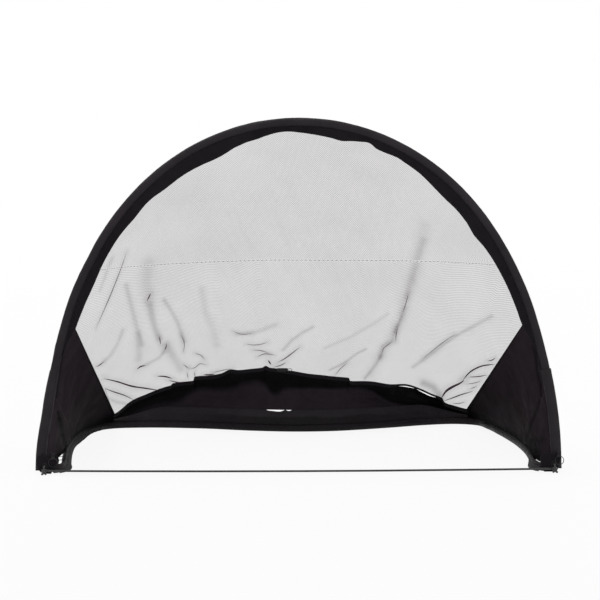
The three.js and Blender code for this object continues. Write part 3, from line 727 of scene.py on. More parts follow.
# Black sleeve, facing and panel cloths. dark and light are the shades between which it varies
def makeCloth(name, cloth):
    look = Look(name, cloth["dark"], cloth["roughness"])
    patches = look.noise(cloth["patchScale"], 0, 1, detail=4)
    weave = look.weave(cloth["thread"])
    lit = look.math("MULTIPLY", weave, 0.35)
    amount = look.math("ADD", look.math("MULTIPLY", patches, 0.65), lit)
    colour = look.shade(amount, cloth["dark"], cloth["light"])
    if "shade" in cloth:  # painted shade: the colour goes towards this near-black where the piece's shade mark says
        layer = look.add("ShaderNodeAttribute", attribute_name="shade").outputs["Fac"]
        look.set(colour=look.mixed(layer, colour, (*cloth["shade"], 1)))
    rough = cloth["roughness"]
    look.set(roughness=look.noise(cloth["patchScale"] * 3, rough - 0.08, rough + 0.08))
    creases = look.noise(cloth["creaseScale"], 0, 1, detail=5)
    look.bump(creases, cloth["crease"], 0.7)
    look.bump(weave, cloth["threadHeight"], 0.6)
    look.set(sheen=cloth["sheen"], sheenRoughness=0.4, specular=cloth["specular"])
    return look.material


# A cloth's shade colour is the near-black of the painted shade that its pieces' shade marks lay on
# it
clothLooks = {
    "sleeveCloth": {
        "dark": (0.0108, 0.0086, 0.0106), "light": (0.0245, 0.0196, 0.024), "roughness": 0.55,
        "thread": 0.0009, "threadHeight": 0.00012, "crease": 0.0012, "creaseScale": 85,
        "patchScale": 9, "sheen": 0.02, "specular": 0.14,
        "shade": (0.003, 0.0022, 0.003),
    },
    # The same black cloth, darker: the extra darkness is painted shade, on the flange, the net's
    # hem and the boots
    "facingCloth": {
        "dark": (0.0045, 0.0036, 0.0048), "light": (0.0108, 0.0086, 0.011), "roughness": 0.62,
        "thread": 0.0008, "threadHeight": 0.0001, "crease": 0.0014, "creaseScale": 70,
        "patchScale": 14, "sheen": 0.01, "specular": 0.08,
    },
    "skirtCloth": {
        "dark": (0.0124, 0.0094, 0.0124), "light": (0.0266, 0.0205, 0.0272), "roughness": 0.6,
        "thread": 0.0008, "threadHeight": 0.0001, "crease": 0.003, "creaseScale": 26,
        "patchScale": 7, "sheen": 0.01, "specular": 0.06,
        "shade": (0.0004, 0.0002, 0.0006),
    },
    "gussetCloth": {
        "dark": (0.0138, 0.0093, 0.0124), "light": (0.0238, 0.0165, 0.0218), "roughness": 0.7,
        "thread": 0.0008, "threadHeight": 0.00004, "crease": 0.0012, "creaseScale": 14,
        "patchScale": 7, "sheen": 0.0, "specular": 0.02,
        "shade": (0.0012, 0.0006, 0.0013),
    },
}
cloths = {name: makeCloth(name, look) for name, look in clothLooks.items()}


def makeThread():
    look = Look("sewingThread", (0.012, 0.0105, 0.012), 0.6)
    look.shade(look.noise(300, 0, 1), (0.008, 0.007, 0.008), (0.021, 0.0185, 0.021))
    look.bump(look.noise(2500, 0, 1, stretch=(1, 0.2, 1)), 0.0001)
    look.set(sheen=0.05, specular=0.2)
    return look.material


# Knitted netting: two families of fine dark threads, see-through between them
netting = {
    "pitch": 0.0039,  # between the heavier threads
    "thread": 0.2,  # a thread's share of that
    "fuzz": 0.34,  # of the pitch, over which a thread's edge thins out
    "solid": 0.385,  # how much of it a thread covers
    "haze": 0.222,  # cover of the finest loops between the threads
    "dark": (0.055, 0.031, 0.047),
    "light": (0.104, 0.07, 0.093),
}


def makeNetting():
    look = Look("netMesh", netting["dark"], 0.8)
    uv = look.add("ShaderNodeTexCoord").outputs["UV"]
    scale = 1 / netting["pitch"]
    moved = look.add("ShaderNodeMapping", {
        "Vector": uv, "Scale": (scale, scale, 1), "Rotation": (0, 0, math.radians(41)),
    }).outputs[0]
    x, y, _ = look.add("ShaderNodeSeparateXYZ", {"Vector": moved}).outputs
    far = [
        look.math("ABSOLUTE", look.math("SUBTRACT", look.math("FRACT", a), 0.5)) for a in (x, y)
    ]
    edge = look.math("MAXIMUM", *far)
    gather = look.add("ShaderNodeAttribute", attribute_name="gather").outputs["Fac"]
    denser = look.math("MULTIPLY", look.math("ADD", gather, 1.0), look.noise(6, 0.92, 1.08))
    start = look.math("SUBTRACT", 0.5, look.math("MULTIPLY", denser, netting["thread"] / 2))
    cover = look.add("ShaderNodeMapRange", {
        "Value": look.math("SUBTRACT", edge, start), "From Min": -netting["fuzz"] / 2,
        "From Max": netting["fuzz"] / 2,
    }).outputs[0]
    haze = look.math("MULTIPLY", denser, netting["haze"])
    threads = look.math("MULTIPLY", cover, netting["solid"])
    alpha = look.add("ShaderNodeMath", {0: threads, 1: haze}, operation="ADD", use_clamp=True)
    look.set(alpha=alpha.outputs[0])
    look.shade(look.noise(60, 0, 1), netting["dark"], netting["light"])
    look.bump(edge, 0.0003)
    look.set(specular=0.1)
    return look.material


# Steel: a grey spring strip, and dark wire and plate for the rings and eyelets
def makeSteel(name, dark, light, roughness, grain):
    look = Look(name, dark, roughness, 1.0)
    look.shade(look.noise(60, 0, 1, detail=5), dark, light)
    rough = look.noise(grain, roughness - 0.08, roughness + 0.1, detail=5, stretch=(1, 1, 0.1))
    look.set(roughness=rough)
    look.bump(look.noise(grain, 0, 1, detail=2), 0.00005, 0.5)
    return look.material


# Ribbed webbing tape for tabs and bindings
def makeWebbing(name, dark, light, rib):
    look = Look(name, dark, 0.75)
    ribs = look.weave(rib)
    amount = look.math("MULTIPLY", ribs, look.noise(40, 0.6, 1.1))
    look.shade(amount, dark, light)
    look.bump(ribs, 0.0003)
    look.set(sheen=0.06, specular=0.2)
    return look.material


# Round braided cord: two families of strands that wind round it
def makeBraid():
    look = Look("braid", (0.02, 0.019, 0.021), 0.65)
    braid = look.weave(0.0011, math.radians(45))
    look.shade(look.math("MULTIPLY", braid, look.noise(90, 0.7, 1.1)),
               (0.006, 0.0052, 0.006), (0.03, 0.027, 0.03))
    look.bump(braid, 0.00035)
    look.bump(look.noise(900, 0, 1), 0.00008)
    look.set(sheen=0.25)
    return look.material


thread = makeThread()
net = makeNetting()
springSteel = makeSteel("springSteel", (0.33, 0.34, 0.36), (0.5, 0.51, 0.53), 0.34, 900)
wireSteel = makeSteel("wireSteel", (0.022, 0.021, 0.023), (0.055, 0.054, 0.057), 0.36, 700)
blackSteel = makeSteel("blackSteel", (0.008, 0.0075, 0.008), (0.02, 0.019, 0.02), 0.5, 700)
webbing = makeWebbing("webbing", (0.007, 0.006, 0.007), (0.024, 0.021, 0.024), 0.0011)
bindingTape = makeWebbing("bindingTape", (0.005, 0.0042, 0.005), (0.026, 0.022, 0.026), 0.0026)
braid = makeBraid()
sleeveCloth, facingCloth, skirtCloth, gussetCloth = cloths.values()
print("materials made")


# The tether cord, stretched between its knots just above the floor

cordRoute = np.array([
    (-0.5752, -0.0216, 0.0086), (-0.52, -0.0214, 0.008), (-0.455, -0.0212, 0.0074),
    (-0.385, -0.0208, 0.0068), (-0.31, -0.0206, 0.0064), (-0.235, -0.0209, 0.006),
    (-0.155, -0.0213, 0.0058), (-0.075, -0.0216, 0.0057), (0, -0.0218, 0.0056),
    (0.08, -0.0217, 0.0057), (0.16, -0.0214, 0.0058), (0.24, -0.021, 0.0061),
    (0.315, -0.0208, 0.0065), (0.39, -0.0209, 0.007), (0.455, -0.0212, 0.0075),
    (0.52, -0.0215, 0.0081), (0.5752, -0.0216, 0.0086),
]) + [foldX, foldY, 0]


def makeCord():
    pile = Pile()
    line = smoothLine(cordRoute, 700)
    roundTube(pile, line, cordDiameter / 2, sides=14)
    cord = pile.make("tetherCord", [braid])
    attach(cord, "base")
    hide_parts("tether_cord")
    return cord, line


# An overhand knot at each corner, with the cord's end going up into the eyelet and two tails on
# the floor in front
cordKnot = {
    "height": 0.0088,
    "size": (0.0017, 0.00125, 0.0019),
    "strand": 0.0021,  # radius
    "riser": 0.0022,
    "tails": [(1, 0.003, 0.014), (-1, -0.005, 0.011)],  # side, spread and reach to the front
    "fray": (1.02, 1.12, 1.22),
}


def makeKnot(name, hand):
    knotX = foldX + hand * (goalWidth / 2 - eyeletInset)
    knotY = float(cordRoute[0][1])
    centre = np.array([knotX, knotY, cordKnot["height"]])
    pile = Pile()
    t = ringAngles(90)
    loops = np.stack([
        (2 + np.cos(3 * t)) * np.cos(2 * t), (2 + np.cos(3 * t)) * np.sin(2 * t), np.sin(3 * t),
    ], -1)
    ring = centre + loops * cordKnot["size"]
    roundTube(pile, np.vstack([ring, ring[:1]]), cordKnot["strand"])
    riser = smoothLine([
        centre + [0, 0, 0.001], centre + [0, -0.0003, 0.006],
        (knotX, knotY + 0.0023, eyeletHeight - 0.0012), (knotX, foldY - 0.0105, eyeletHeight),
        (knotX, foldY - 0.0085, eyeletHeight),
    ], 40)
    roundTube(pile, riser, cordKnot["riser"])
    for side, spread, reach in cordKnot["tails"]:
        tail = smoothLine([
            centre + [0, 0, -0.001], centre + [hand * 0.002 * side, -0.006, -0.003],
            (knotX + hand * spread * 0.5, knotY - reach / 2, 0.0033),
            (knotX + hand * spread, knotY - reach + 0.002, 0.0029),
        ], 36)
        fray = np.ones((36, 12))
        fray[-3:] = np.array(cordKnot["fray"])[:, None]
        roundTube(pile, tail, cordKnot["strand"], swell=fray)
    knot = pile.make(f"cordKnot{name.capitalize()}", [braid])
    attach(knot, "base")
    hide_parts(f"cord_knot_{name}")
    return knot


cord, cordLine = makeCord()
knots = [makeKnot("left", -1), makeKnot("right", 1)]
print("cord made")


# The arch

tubeSides = 28  # of a sleeve or cuff


# Small dents and long waves in a tube of cloth, u metres along it and around it by an angle
def dents(u, around, cloth, seeds):
    small = cloth["dent"] * roughBumps(u / cloth["dentLength"], around * 1.3, seeds[0])
    return small + cloth["wave"] * bumps(u / cloth["waveLength"], around, seeds[1])


archSleeve = {
    "steps": 900,
    "dent": 0.035,  # of the section's size, like the wave
    "dentLength": 0.016,
    "wave": 0.03,
    "waveLength": 0.06,
    "seam": 0.5,  # radians to each side of the seam that stay smooth
}


def makeArchSleeve():
    turns, far = evenTurns(archSleeve["steps"], footTurn, math.pi - footTurn)
    centre, side, up = archFrame(turns, sleeveWidth / 2 + sleeveIn(turns))
    u, around = far[:, None], ringAngles(tubeSides)[None]
    seam = np.exp(-((np.minimum(around, 2 * math.pi - around) / archSleeve["seam"]) ** 2))
    swell = 1 + dents(u, around, archSleeve, (2, 3)) * (1 - seam) - 0.01
    pile = Pile()
    tube(pile, centre, side, up, sleeveWidth, sleeveDepth, tubeSides, swell)
    sleeve = pile.make("archSleeve", [sleeveCloth])
    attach(sleeve, "arch")
    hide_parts("arch_sleeve")


# The spring strip inside it
archSpring = {"inset": 0.00405, "thick": 0.0015, "wide": 0.006, "steps": 420, "sides": 24}


def makeArchSpring():
    turns, _ = evenTurns(archSpring["steps"], footTurn, math.pi - footTurn)
    centre, side, up = archFrame(turns, archSpring["inset"] + sleeveIn(turns))
    angle = ringAngles(archSpring["sides"])
    square = (np.abs(np.cos(angle)) ** 10 + np.abs(np.sin(angle)) ** 10) ** -0.1
    pile = Pile()
    tube(pile, centre, side, up, archSpring["thick"], archSpring["wide"], len(angle), square)
    spring = pile.make("archSpring", [springSteel])
    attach(spring, "arch")
    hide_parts("arch_spring")


# The facing runs inside the sleeve. Its inner edge, which holds the net, is slack and wavy
archFacing = {
    "steps": 1140,
    "columns": 9,
    "thick": 0.0012,
    "ruffle": 0.0022,
    "ripple": 0.0012,
    "stitched": (1, 7),  # the columns with a row of stitches
}


def makeArchFacing():
    start = float(turnAt(facingStart))
    turns, far = evenTurns(archFacing["steps"], start, math.pi - start)
    share = np.linspace(0, 1, archFacing["columns"])
    outer = sleeveWidth - 0.0004 + sleeveIn(turns)[:, None]
    inset = mix(outer, legReach(turns)[:, None], share[None])
    at, _ = outline(np.repeat(turns[:, None], len(share), 1), inset)
    ruffle = archFacing["ruffle"] * roughBumps(far[:, None] / 0.028, share[None] * 0.8, 8)
    ruffle = ruffle + archFacing["ripple"] * bumps(far[:, None] / 0.011, share[None], 12)
    back = ruffle * np.sin(share * math.pi * 0.8)[None]
    points = onArch(at[..., 0], back, at[..., 1])
    pile = Pile()
    pile.cloth(points, archFacing["thick"])
    for column in archFacing["stitched"]:
        stitches(pile, points[:, column], towardsFront, 0.0006)
    facing = pile.make("archFacing", [facingCloth, thread])
    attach(facing, "arch")
    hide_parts("arch_facing")
    return facing


# A second layer round the foot of each leg, closed at the foot. The right one has a thick hem at
# its top, and the left one lies close there and is drawn in along its middle
legCuff = {
    "steps": 130,
    "dent": 0.03,
    "dentLength": 0.02,
    "wave": 0.03,
    "waveLength": 0.07,
    "hem": {-1: 0.0, 1: 0.035},
    "hemWidth": 0.004,
    "taper": {-1: 0.12, 1: 0.0},
    "taperLength": 0.06,
    "pull": {-1: 0.002, 1: 0.0},
}


def makeCuff(name, hand):
    turns, far = evenTurns(legCuff["steps"], footTurn, float(turnAt(cuffHeight)))
    turns = turns if hand > 0 else math.pi - turns
    pulled = legCuff["pull"][hand] * np.sin(math.pi * np.clip(far / far[-1], 0, 1)) ** 2
    centre, side, up = archFrame(turns, sleeveWidth / 2 + sleeveIn(turns) + pulled)
    u, around = far[:, None], ringAngles(tubeSides)[None]
    rough = dents(u, around, legCuff, (21 + hand, 23 + hand))
    below, width = far[-1] - u, legCuff["hemWidth"]
    hem = legCuff["hem"][hand] * np.exp(-((below - width) / width) ** 2)
    hem = hem - legCuff["taper"][hand] * (1 - ease(below / legCuff["taperLength"]))
    swell = 0.99 + rough * ease(u / 0.02) + hem
    grow = 2 * (gap + cuffThick)
    pile = Pile()
    points = tube(pile, centre, side, up, sleeveWidth + grow, sleeveDepth + grow, tubeSides, swell)
    ring = np.vstack([points[-5], points[-5][:1]])
    stitches(pile, ring, ring - ring[:-1].mean(0))
    cuff = pile.make(f"legCuff{name.capitalize()}", [sleeveCloth, thread])
    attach(cuff, "arch")
    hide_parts(f"leg_cuff_{name}")


makeArchSleeve()
makeArchSpring()
facing = makeArchFacing()
makeCuff("left", -1)
makeCuff("right", 1)
print("arch made")


# The ground loop's sleeve and the band that stands on it along the back

groundSleeve = {
    "start": 0.01,  # the bare end of the hoop at each front corner
    "steps": 1000,
    "closing": 0.004,  # the length over which each end closes
    "dent": 0.05,
    "dentLength": 0.022,
    "wave": 0.05,
    "waveLength": 0.08,
    # how much painted shade it has, over its share of the loop from left to right
    "shades": [
        (0, 0.2), (0.1, 0.45), (0.15, 0.6), (0.2, 0.8), (0.29, 0.85), (0.33, 0.15), (0.37, 0.2),
        (0.41, 0.55), (0.57, 0.6), (0.62, 0.3), (0.66, 0.05), (0.69, 0.3), (0.73, 0.95),
        (0.88, 0.95), (0.94, 0.85), (0.98, 0.4), (1, 0.3),
    ],
}


def groundShade(shares):
    return np.clip(through(groundSleeve["shades"], shares), 0, 1)


def makeGroundSleeve():
    start = groundSleeve["start"] / loopLength
    shares = np.linspace(start, 1 - start, groundSleeve["steps"] + 1)
    far = shares * loopLength
    closing = np.minimum(far - far[0], far[-1] - far)[:, None]
    closing = np.sqrt(np.clip(closing / groundSleeve["closing"], 0.02, 1))
    centre = onLoop(shares, 0, sleeveWidth / 2)
    side = unit(onLoop(shares, 0.01, 0) - onLoop(shares, 0, 0))
    up = np.broadcast_to([0, 0, 1.0], side.shape)
    u, around = far[:, None], ringAngles(tubeSides)[None]
    rough = dents(u, around, groundSleeve, (31, 33))
    low = np.exp(-((np.abs(around - 1.5 * math.pi) / 0.7) ** 2))  # it lies smooth on the floor
    swell = closing * (1 + (rough - 0.02) * (1 - low))
    pile = Pile()
    # The sleeve is painted darker in shade where the table above says
    tube(pile, centre, side, up, sleeveDepth, sleeveWidth, tubeSides, swell,
         gather=groundShade(shares)[:, None])
    sleeve = pile.make("groundSleeve", [sleeveCloth], mark="shade")
    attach(sleeve, "base")
    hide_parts("ground_sleeve")


# The band swells a little at half height, and its seam to the skirt stays open for a stretch,
# where the hoop is joined
groundBand = {
    "steps": 620,
    "rows": 14,
    "thick": 0.0014,
    "swell": 0.0022,
    "shadeTop": 0.62,  # up to which share of its height it is painted in shade
    "shadeSoft": 0.2,
}


def makeGroundBand():
    along = np.linspace(0, 1, groundBand["steps"] + 1)
    rise = np.linspace(0, 1, groundBand["rows"])[:, None]
    shares = mix(*skirtSpan, along)
    top = bandTop(along) - slitGap(shares)
    far = backRun(along[None])
    swell = groundBand["swell"] * roughBumps(far / 0.035, rise * 1.5, 41) * np.sin(math.pi * rise)
    points = onLoop(shares[None], swell, mix(bandFoot - 0.0015, top[None], rise))
    # Its lower part is painted in shade, as much as the sleeve beside it
    shadeTop = groundBand["shadeTop"] + 0.12 * roughBumps(far / 0.05, 0.5, 43)
    lowPart = ease((shadeTop - rise) / groundBand["shadeSoft"])
    shade = np.clip(1.1 * groundShade(shares)[None] * lowPart, 0, 1)
    pile = Pile()
    pile.cloth(points, groundBand["thick"], gather=shade)
    inner = unit(onLoop(shares, -0.01, 0) - onLoop(shares, 0, 0))
    for row in (1, groundBand["rows"] - 2):
        for side in (1, -1):
            stitches(pile, points[row], side * inner, 0.0007)
    band = pile.make("groundBand", [sleeveCloth, thread], mark="shade")
    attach(band, "base")
    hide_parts("ground_band")
    return band


makeGroundSleeve()
band = makeGroundBand()
print("ground loop made")


# The back skirt: it bellies out over its middle, so that its upper part lies in shade, and that
# upper part is painted in shade as well
skirt = {
    "belly": 0.028,
    "waver": 0.011,
    "ripple": 0.003,
    "thick": 0.0012,
    "rows": 70,
    "columns": 620,
    # the lower edge of the painted shade under the hem, in the photograph's frame
    "shadeEdge": [
        (110, 424), (130, 416), (150, 407), (165, 404), (178, 401), (186, 396), (193, 391),
        (205, 388.5), (218, 389), (228, 388), (237, 386.5), (241, 384), (250, 383), (262, 383.5),
        (267, 388), (271, 393), (276, 394.5), (284, 390), (298, 388.5), (330, 388.3), (350, 388.3),
        (364, 388), (374, 391.5), (382, 398), (392, 403), (402, 405), (415, 406), (430, 408),
        (445, 410), (470, 418),
    ],
    # where skirt and hem stand apart: place along the hem, half width and height, and the
    # stretch about them in which the hem is narrower
    "hemGaps": [(0.802, 0.03, 0.0028), (0.868, 0.038, 0.004)],
    "hemNarrow": {"at": 0.836, "reach": 0.09, "soft": 0.03, "by": 0.0045},
}


def hemGap(along):
    opening = np.zeros_like(along)
    for place, width, high in skirt["hemGaps"]:
        opening = opening + high * np.clip(1 - ((along - place) / width) ** 2, 0, 1)
    return opening


def hemTapeWidth(along):
    narrow = skirt["hemNarrow"]
    return hemWidth - narrow["by"] * ease(
        (narrow["reach"] - np.abs(along - narrow["at"])) / narrow["soft"]
    )


def makeSkirt():
    along = np.linspace(-0.004, 1.004, skirt["columns"])
    rise = np.linspace(0, 1, skirt["rows"])[:, None]
    shares = mix(*skirtSpan, along)
    foot = onLoop(shares, 0.0015, bandTop(along) - 0.004 + 0.0045 * slitEdge(shares))
    drop = hemTapeWidth(along) - 0.0015
    opening = hemGap(along)
    drop = drop + opening + 0.0015 * (opening > 0)
    top = hemPoint(along, drop) + [0, 0.0014, 0]
    points = mix(foot[None], top[None], rise[..., None])
    held = np.sin(math.pi * np.clip(along, 0, 1)) ** 0.5
    far = backRun(along)
    belly = skirt["belly"] * np.sin(math.pi * rise**1.1) * held
    waver = skirt["waver"] * roughBumps(far / 0.11 + rise * 0.7, rise * 1.6 + 0.2, 51)
    ripple = skirt["ripple"] * roughBumps(far / 0.03, rise * 3, 55)
    points[..., 1] += belly + (waver + ripple) * np.sin(math.pi * rise) * held
    # The zone under the hem is painted in shade
    spots = inPhoto(points)
    edge = through(skirt["shadeEdge"], spots[..., 0])
    edge = edge + 1.2 * roughBumps(spots[..., 0] / 16, 0.3, 57)
    soft = mix(9.0, 4.0, ease((spots[..., 0] - 270) / 40))
    shade = ease((edge - spots[..., 1]) / soft + 0.5)
    pile = Pile()
    pile.cloth(points, skirt["thick"], gather=shade)
    stitches(pile, points[1], towardsFront, 0.0007)
    piece = pile.make("backSkirt", [skirtCloth, thread], mark="shade")
    foldAlong(piece)
    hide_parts("back_skirt")
    return piece


netHem = {"rows": 6, "columns": 640, "thick": 0.0013, "waver": 0.0012, "stitched": (1, 4)}


def makeHem():
    along = np.linspace(-0.006, 1.006, netHem["columns"])
    drop = np.linspace(1, 0, netHem["rows"])[:, None] * hemTapeWidth(along)[None]
    points = hemPoint(np.broadcast_to(along, drop.shape), drop)
    far = backRun(along[None])
    points[..., 1] += netHem["waver"] * roughBumps(far / 0.012, drop / 0.01, 61)
    pile = Pile()
    pile.cloth(points, netHem["thick"])
    for row in netHem["stitched"]:
        stitches(pile, points[row], towardsFront, 0.0007)
    piece = pile.make("netHem", [facingCloth, thread])
    foldAlong(piece)
    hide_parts("net_hem")
    return piece


backSkirt, hem = makeSkirt(), makeHem()
print("skirt made")


# The net, in two panels with a seam tape between them

# Creases in the net, placed in the photograph's frame: how wide in its pixels, how much the net is
# gathered there, and the points that each runs through
netCreases = [
    (1.0, 1.3, [(127, 251), (123, 263), (115, 284), (105, 308), (96, 328)]),
    (1.2, 2.6, [(151, 293), (149, 297), (147, 301)]),
    (2.4, 0.45, [(126, 285), (131, 305), (137, 328), (142, 345)]),
    (3.2, 0.6, [(150, 305), (154, 325), (159, 338)]),
    (1.1, 2.4, [(159.4, 336), (160.7, 344.4)]),
    (2.0, 0.5, [(164, 300), (172, 312), (178, 323), (184, 341)]),
    (5.5, 0.28, [(148, 262), (146, 282), (150, 300)]),
    (1.7, 0.35, [(112, 258), (100, 290)]),
    (1.7, 5.0, [(103.5, 378.4), (117.5, 381.6), (131.6, 386), (145.6, 388.2), (159.6, 390.4)]),
    (1.3, 2.0, [(102.8, 387.5), (114, 391.8), (124.6, 395.3), (133.7, 399.8)]),
    (1.6, 0.4, [(107, 398), (117, 402), (127, 404)]),
    (1.5, 4.0, [(157, 376), (166, 376.6), (172.3, 378.4)]),
    (1.3, 2.6, [(168.8, 380.2), (176, 382), (184.2, 383)]),
    (1.4, 3.0, [(136.8, 369.3), (140.5, 366.6), (145.6, 365.1)]),
    (1.6, 0.4, [(145.6, 365.1), (153, 361), (159.6, 357.4), (164, 352)]),
    (1.2, 1.6, [(164.5, 351), (166, 347), (166.8, 343.5)]),
    (1.2, 2.0, [(96, 367), (101, 364), (104, 361.5)]),
    (1.9, 0.4, [(104, 361.5), (110, 356), (117.5, 344), (123, 330)]),
    (3.4, 0.4, [(137.9, 333.5), (139.3, 351), (138.6, 359.5)]),
    (1.0, 1.4, [(183.5, 364.4), (188.4, 368.2)]),
    (1.0, 0.9, [(188.4, 368.2), (194, 368), (200.4, 363.7), (206.6, 365)]),
    (1.1, 0.8, [(180.7, 334), (184.2, 342), (183.5, 352.5)]),
    (1.0, 1.0, [(187, 372), (188, 378)]),
    (1.0, 1.2, [(194.5, 372), (195, 377)]),
    (1.1, 0.9, [(194.7, 353), (201.8, 356), (204.6, 359.5)]),
    (4.2, 0.45, [(166, 345), (174, 358), (180.7, 369)]),
    (1.3, 1.8, [(277, 362.5), (284, 359), (291, 354), (300, 347)]),
    (1.6, 0.5, [(283, 350), (292, 340), (302, 333), (313, 327)]),
    (1.2, 0.9, [(246, 344), (254, 345), (262, 344), (268, 342)]),
    (1.1, 1.3, [(257, 357), (264, 354), (275, 355)]),
    (1.7, 3.2, [(268, 360), (271, 364.5)]),
    (1.1, 1.6, [(274, 367), (280, 365.5), (286, 362.5)]),
    (1.5, 3.4, [(203, 374.8), (209, 374.6), (215, 374)]),
    (1.1, 0.9, [(213, 372.4), (222, 370.4), (232, 368.6)]),
    (2.2, 0.35, [(237, 334), (256, 332), (275, 325)]),
    (2.6, 6.0, [(441, 398), (446, 391), (453, 386.5), (460, 383), (464, 380)]),
    (1.6, 4.5, [(462, 380.5), (470, 372), (480, 366.5), (495, 364)]),
    (1.3, 2.8, [(443, 401), (452, 398), (460, 395), (473, 391)]),
    (1.1, 1.5, [(452, 403.5), (459, 403.3), (465, 402)]),
    (1.1, 2.2, [(468, 377), (478, 376.5), (487, 375)]),
    (1.0, 1.2, [(467, 384), (474, 383), (481, 381)]),
    (1.0, 1.2, [(470, 389), (477, 386)]),
    (1.1, 2.2, [(487, 361), (492, 360), (495.5, 357.5)]),
    (1.8, 0.5, [(413, 367), (430, 355), (442.5, 345), (457, 335), (474, 326), (492, 316)]),
    (2.2, 0.4, [(380, 358), (383, 346), (392, 341), (396, 328), (400, 322), (405, 308)]),
    (1.2, 1.1, [(395.5, 341), (396, 334), (397.5, 327)]),
    (4.5, 0.2, [(425, 225), (400, 320), (370, 375)]),
    (3.0, 0.35, [(423.5, 240), (418, 258), (412.5, 277.5), (406.5, 297.5)]),
    (1.1, 1.0, [(408, 293), (405, 305), (402, 313)]),
    (1.3, 0.4, [(402, 316), (398, 325), (395, 332.5)]),
    (1.2, 0.9, [(392.5, 341), (387, 345), (383.5, 348), (381.5, 354)]),
    (1.6, 0.55, [(381, 356), (377, 363), (371, 371), (365, 378.5)]),
    (1.0, 0.9, [(422, 359), (432, 351), (442, 343), (455, 334)]),
    (1.6, 0.3, [(388, 314), (370, 326), (350, 337), (325, 348)]),
    (1.2, 0.5, [(330, 370), (345, 362.5), (356, 354), (366, 349)]),
    (1.0, 0.8, [(335, 375), (341, 368), (347, 363)]),
    (1.1, 0.8, [(233, 331), (241, 334), (252, 333.5)]),
    (1.1, 0.9, [(252, 350), (260, 350.5), (269, 353)]),
    (3.0, 0.25, [(202, 288), (205, 312), (213, 330), (217, 345)]),
    (4.0, 0.7, [(424, 383.5), (433, 387), (440, 396)]),
]
netFold = {
    "slack": 0.006,
    "ripple": 0.0025,
    "pixel": 0.0025,  # metres on the net
    "sharp": 0.75,  # the gather from which a crease is a pinched fold of its own on the net
    "beside": 0.22,  # the gather beside such a fold
    "proud": 0.0018,  # how far it stands off
}


def netFolds(point, along, rise):
    held = np.sin(math.pi * along) * np.sin(math.pi * rise)
    x, z = point[..., 0], point[..., 2]
    slack = netFold["slack"] * roughBumps(x / 0.11 + z / 0.3, z / 0.16, 71)
    slack = slack + netFold["ripple"] * roughBumps((x + 0.4 * z) / 0.04, z / 0.12, 73)
    slack = slack * held
    spots = inPhoto(point)
    for width, _, line in netCreases:
        ridge = np.exp(-((offLine(spots, line) / (width + 2)) ** 2))
        slack = slack - ridge * netFold["pixel"] * min(width, 2.5) * 0.5
    return slack


# How much the net is gathered: along its creases, and a little where it slopes
def netGather(point, fold):
    slope = np.abs(np.gradient(fold, axis=1)) / np.maximum(
        np.linalg.norm(np.gradient(point, axis=1), axis=-1), 1e-6
    )
    spots = inPhoto(point)
    gathered = 0.4 * np.clip(slope, 0, 0.5) + 0.05 * ease((point[..., 2] - 0.3) / 0.3)
    for width, gather, line in netCreases:
        if gather < netFold["sharp"]:
            gathered = gathered + gather * np.exp(-((offLine(spots, line) / width) ** 2))
        else:  # a pinched fold draws the net in beside it
            near = np.exp(-((offLine(spots, line) / (width + 1.6)) ** 2))
            gathered = gathered + netFold["beside"] * near
    return gathered


def netSurface(along, rise):
    point = netPoint(along, rise)
    point[..., 1] += netFolds(point, along, rise)
    return point


# The net's own along and rise at spots in the photograph's frame
def onNet(spots):
    along, rise = np.meshgrid(np.linspace(0, 1, 120), np.linspace(0, 1, 120), indexing="ij")
    seen = inPhoto(netPoint(along, rise)).reshape(-1, 2)
    near = np.argmin(np.linalg.norm(spots[:, None] - seen[None], axis=-1), axis=1)
    place = np.stack([along.ravel()[near], rise.ravel()[near]], -1)
    step = 1e-4
    for _ in range(6):
        here = inPhoto(netPoint(place[:, 0], place[:, 1]))
        turn = np.stack([
            (inPhoto(netPoint(place[:, 0] + step, place[:, 1])) - here) / step,
            (inPhoto(netPoint(place[:, 0], place[:, 1] + step)) - here) / step,
        ], -1)
        place = place + np.linalg.solve(turn, (spots - here)[..., None])[..., 0]
        place = np.clip(place, 0, 1)
    return place


# A pinched fold: a narrow strip of gathered net that stands a little proud of the rest
def addPinch(pile, width, gather, line):
    flat = np.array(line, float)
    flat = np.column_stack([flat, np.zeros(len(flat))])
    length = np.linalg.norm(np.diff(flat, axis=0), axis=1).sum()
    spots = smoothLine(flat, max(10, int(length * 1.3)))[:, :2]
    place = onNet(spots)
    middle = netSurface(place[:, 0], place[:, 1])
    toward = unit(np.array(bpy.context.scene.camera.location) - middle)
    side = unit(np.cross(np.gradient(middle, axis=0), toward))
    share = np.linspace(0, 1, len(middle))
    thin = np.clip(np.sin(math.pi * share), 0.02, 1) ** 0.5
    waver = 1 + 0.25 * roughBumps(share * length / 6, 0.5, 121)
    across = np.linspace(-1, 1, 5)
    reach = across * width * netFold["pixel"] / 2
    out = side[:, None] * reach[None, :, None] * (thin * waver)[:, None, None]
    crown = 0.0004 + netFold["proud"] * (1 - across**2)[None] * thin[:, None]
    points = middle[:, None] + out + toward[:, None] * crown[..., None]
    dense = gather * thin[:, None] * (1 - 0.35 * np.abs(across))[None]
    pile.grid(points, clothUv(points), gather=dense)


# The seam between the panels hangs lower to the left
def seamHeight(along):
    return netSeamHeight - mix(0.018, 0.007, ease(along / 0.5))


def seamRise(along):
    low, high = np.zeros_like(along), np.ones_like(along)
    for _ in range(26):
        middle = (low + high) / 2
        below = netPoint(along, middle)[..., 2] < seamHeight(along)
        low, high = np.where(below, middle, low), np.where(below, high, middle)
    return np.where(netTop(along)[..., 2] <= seamHeight(along), 1.0, (low + high) / 2)


def lineLength(along):
    return np.linalg.norm(netTop(along) - netFoot(along), axis=-1)


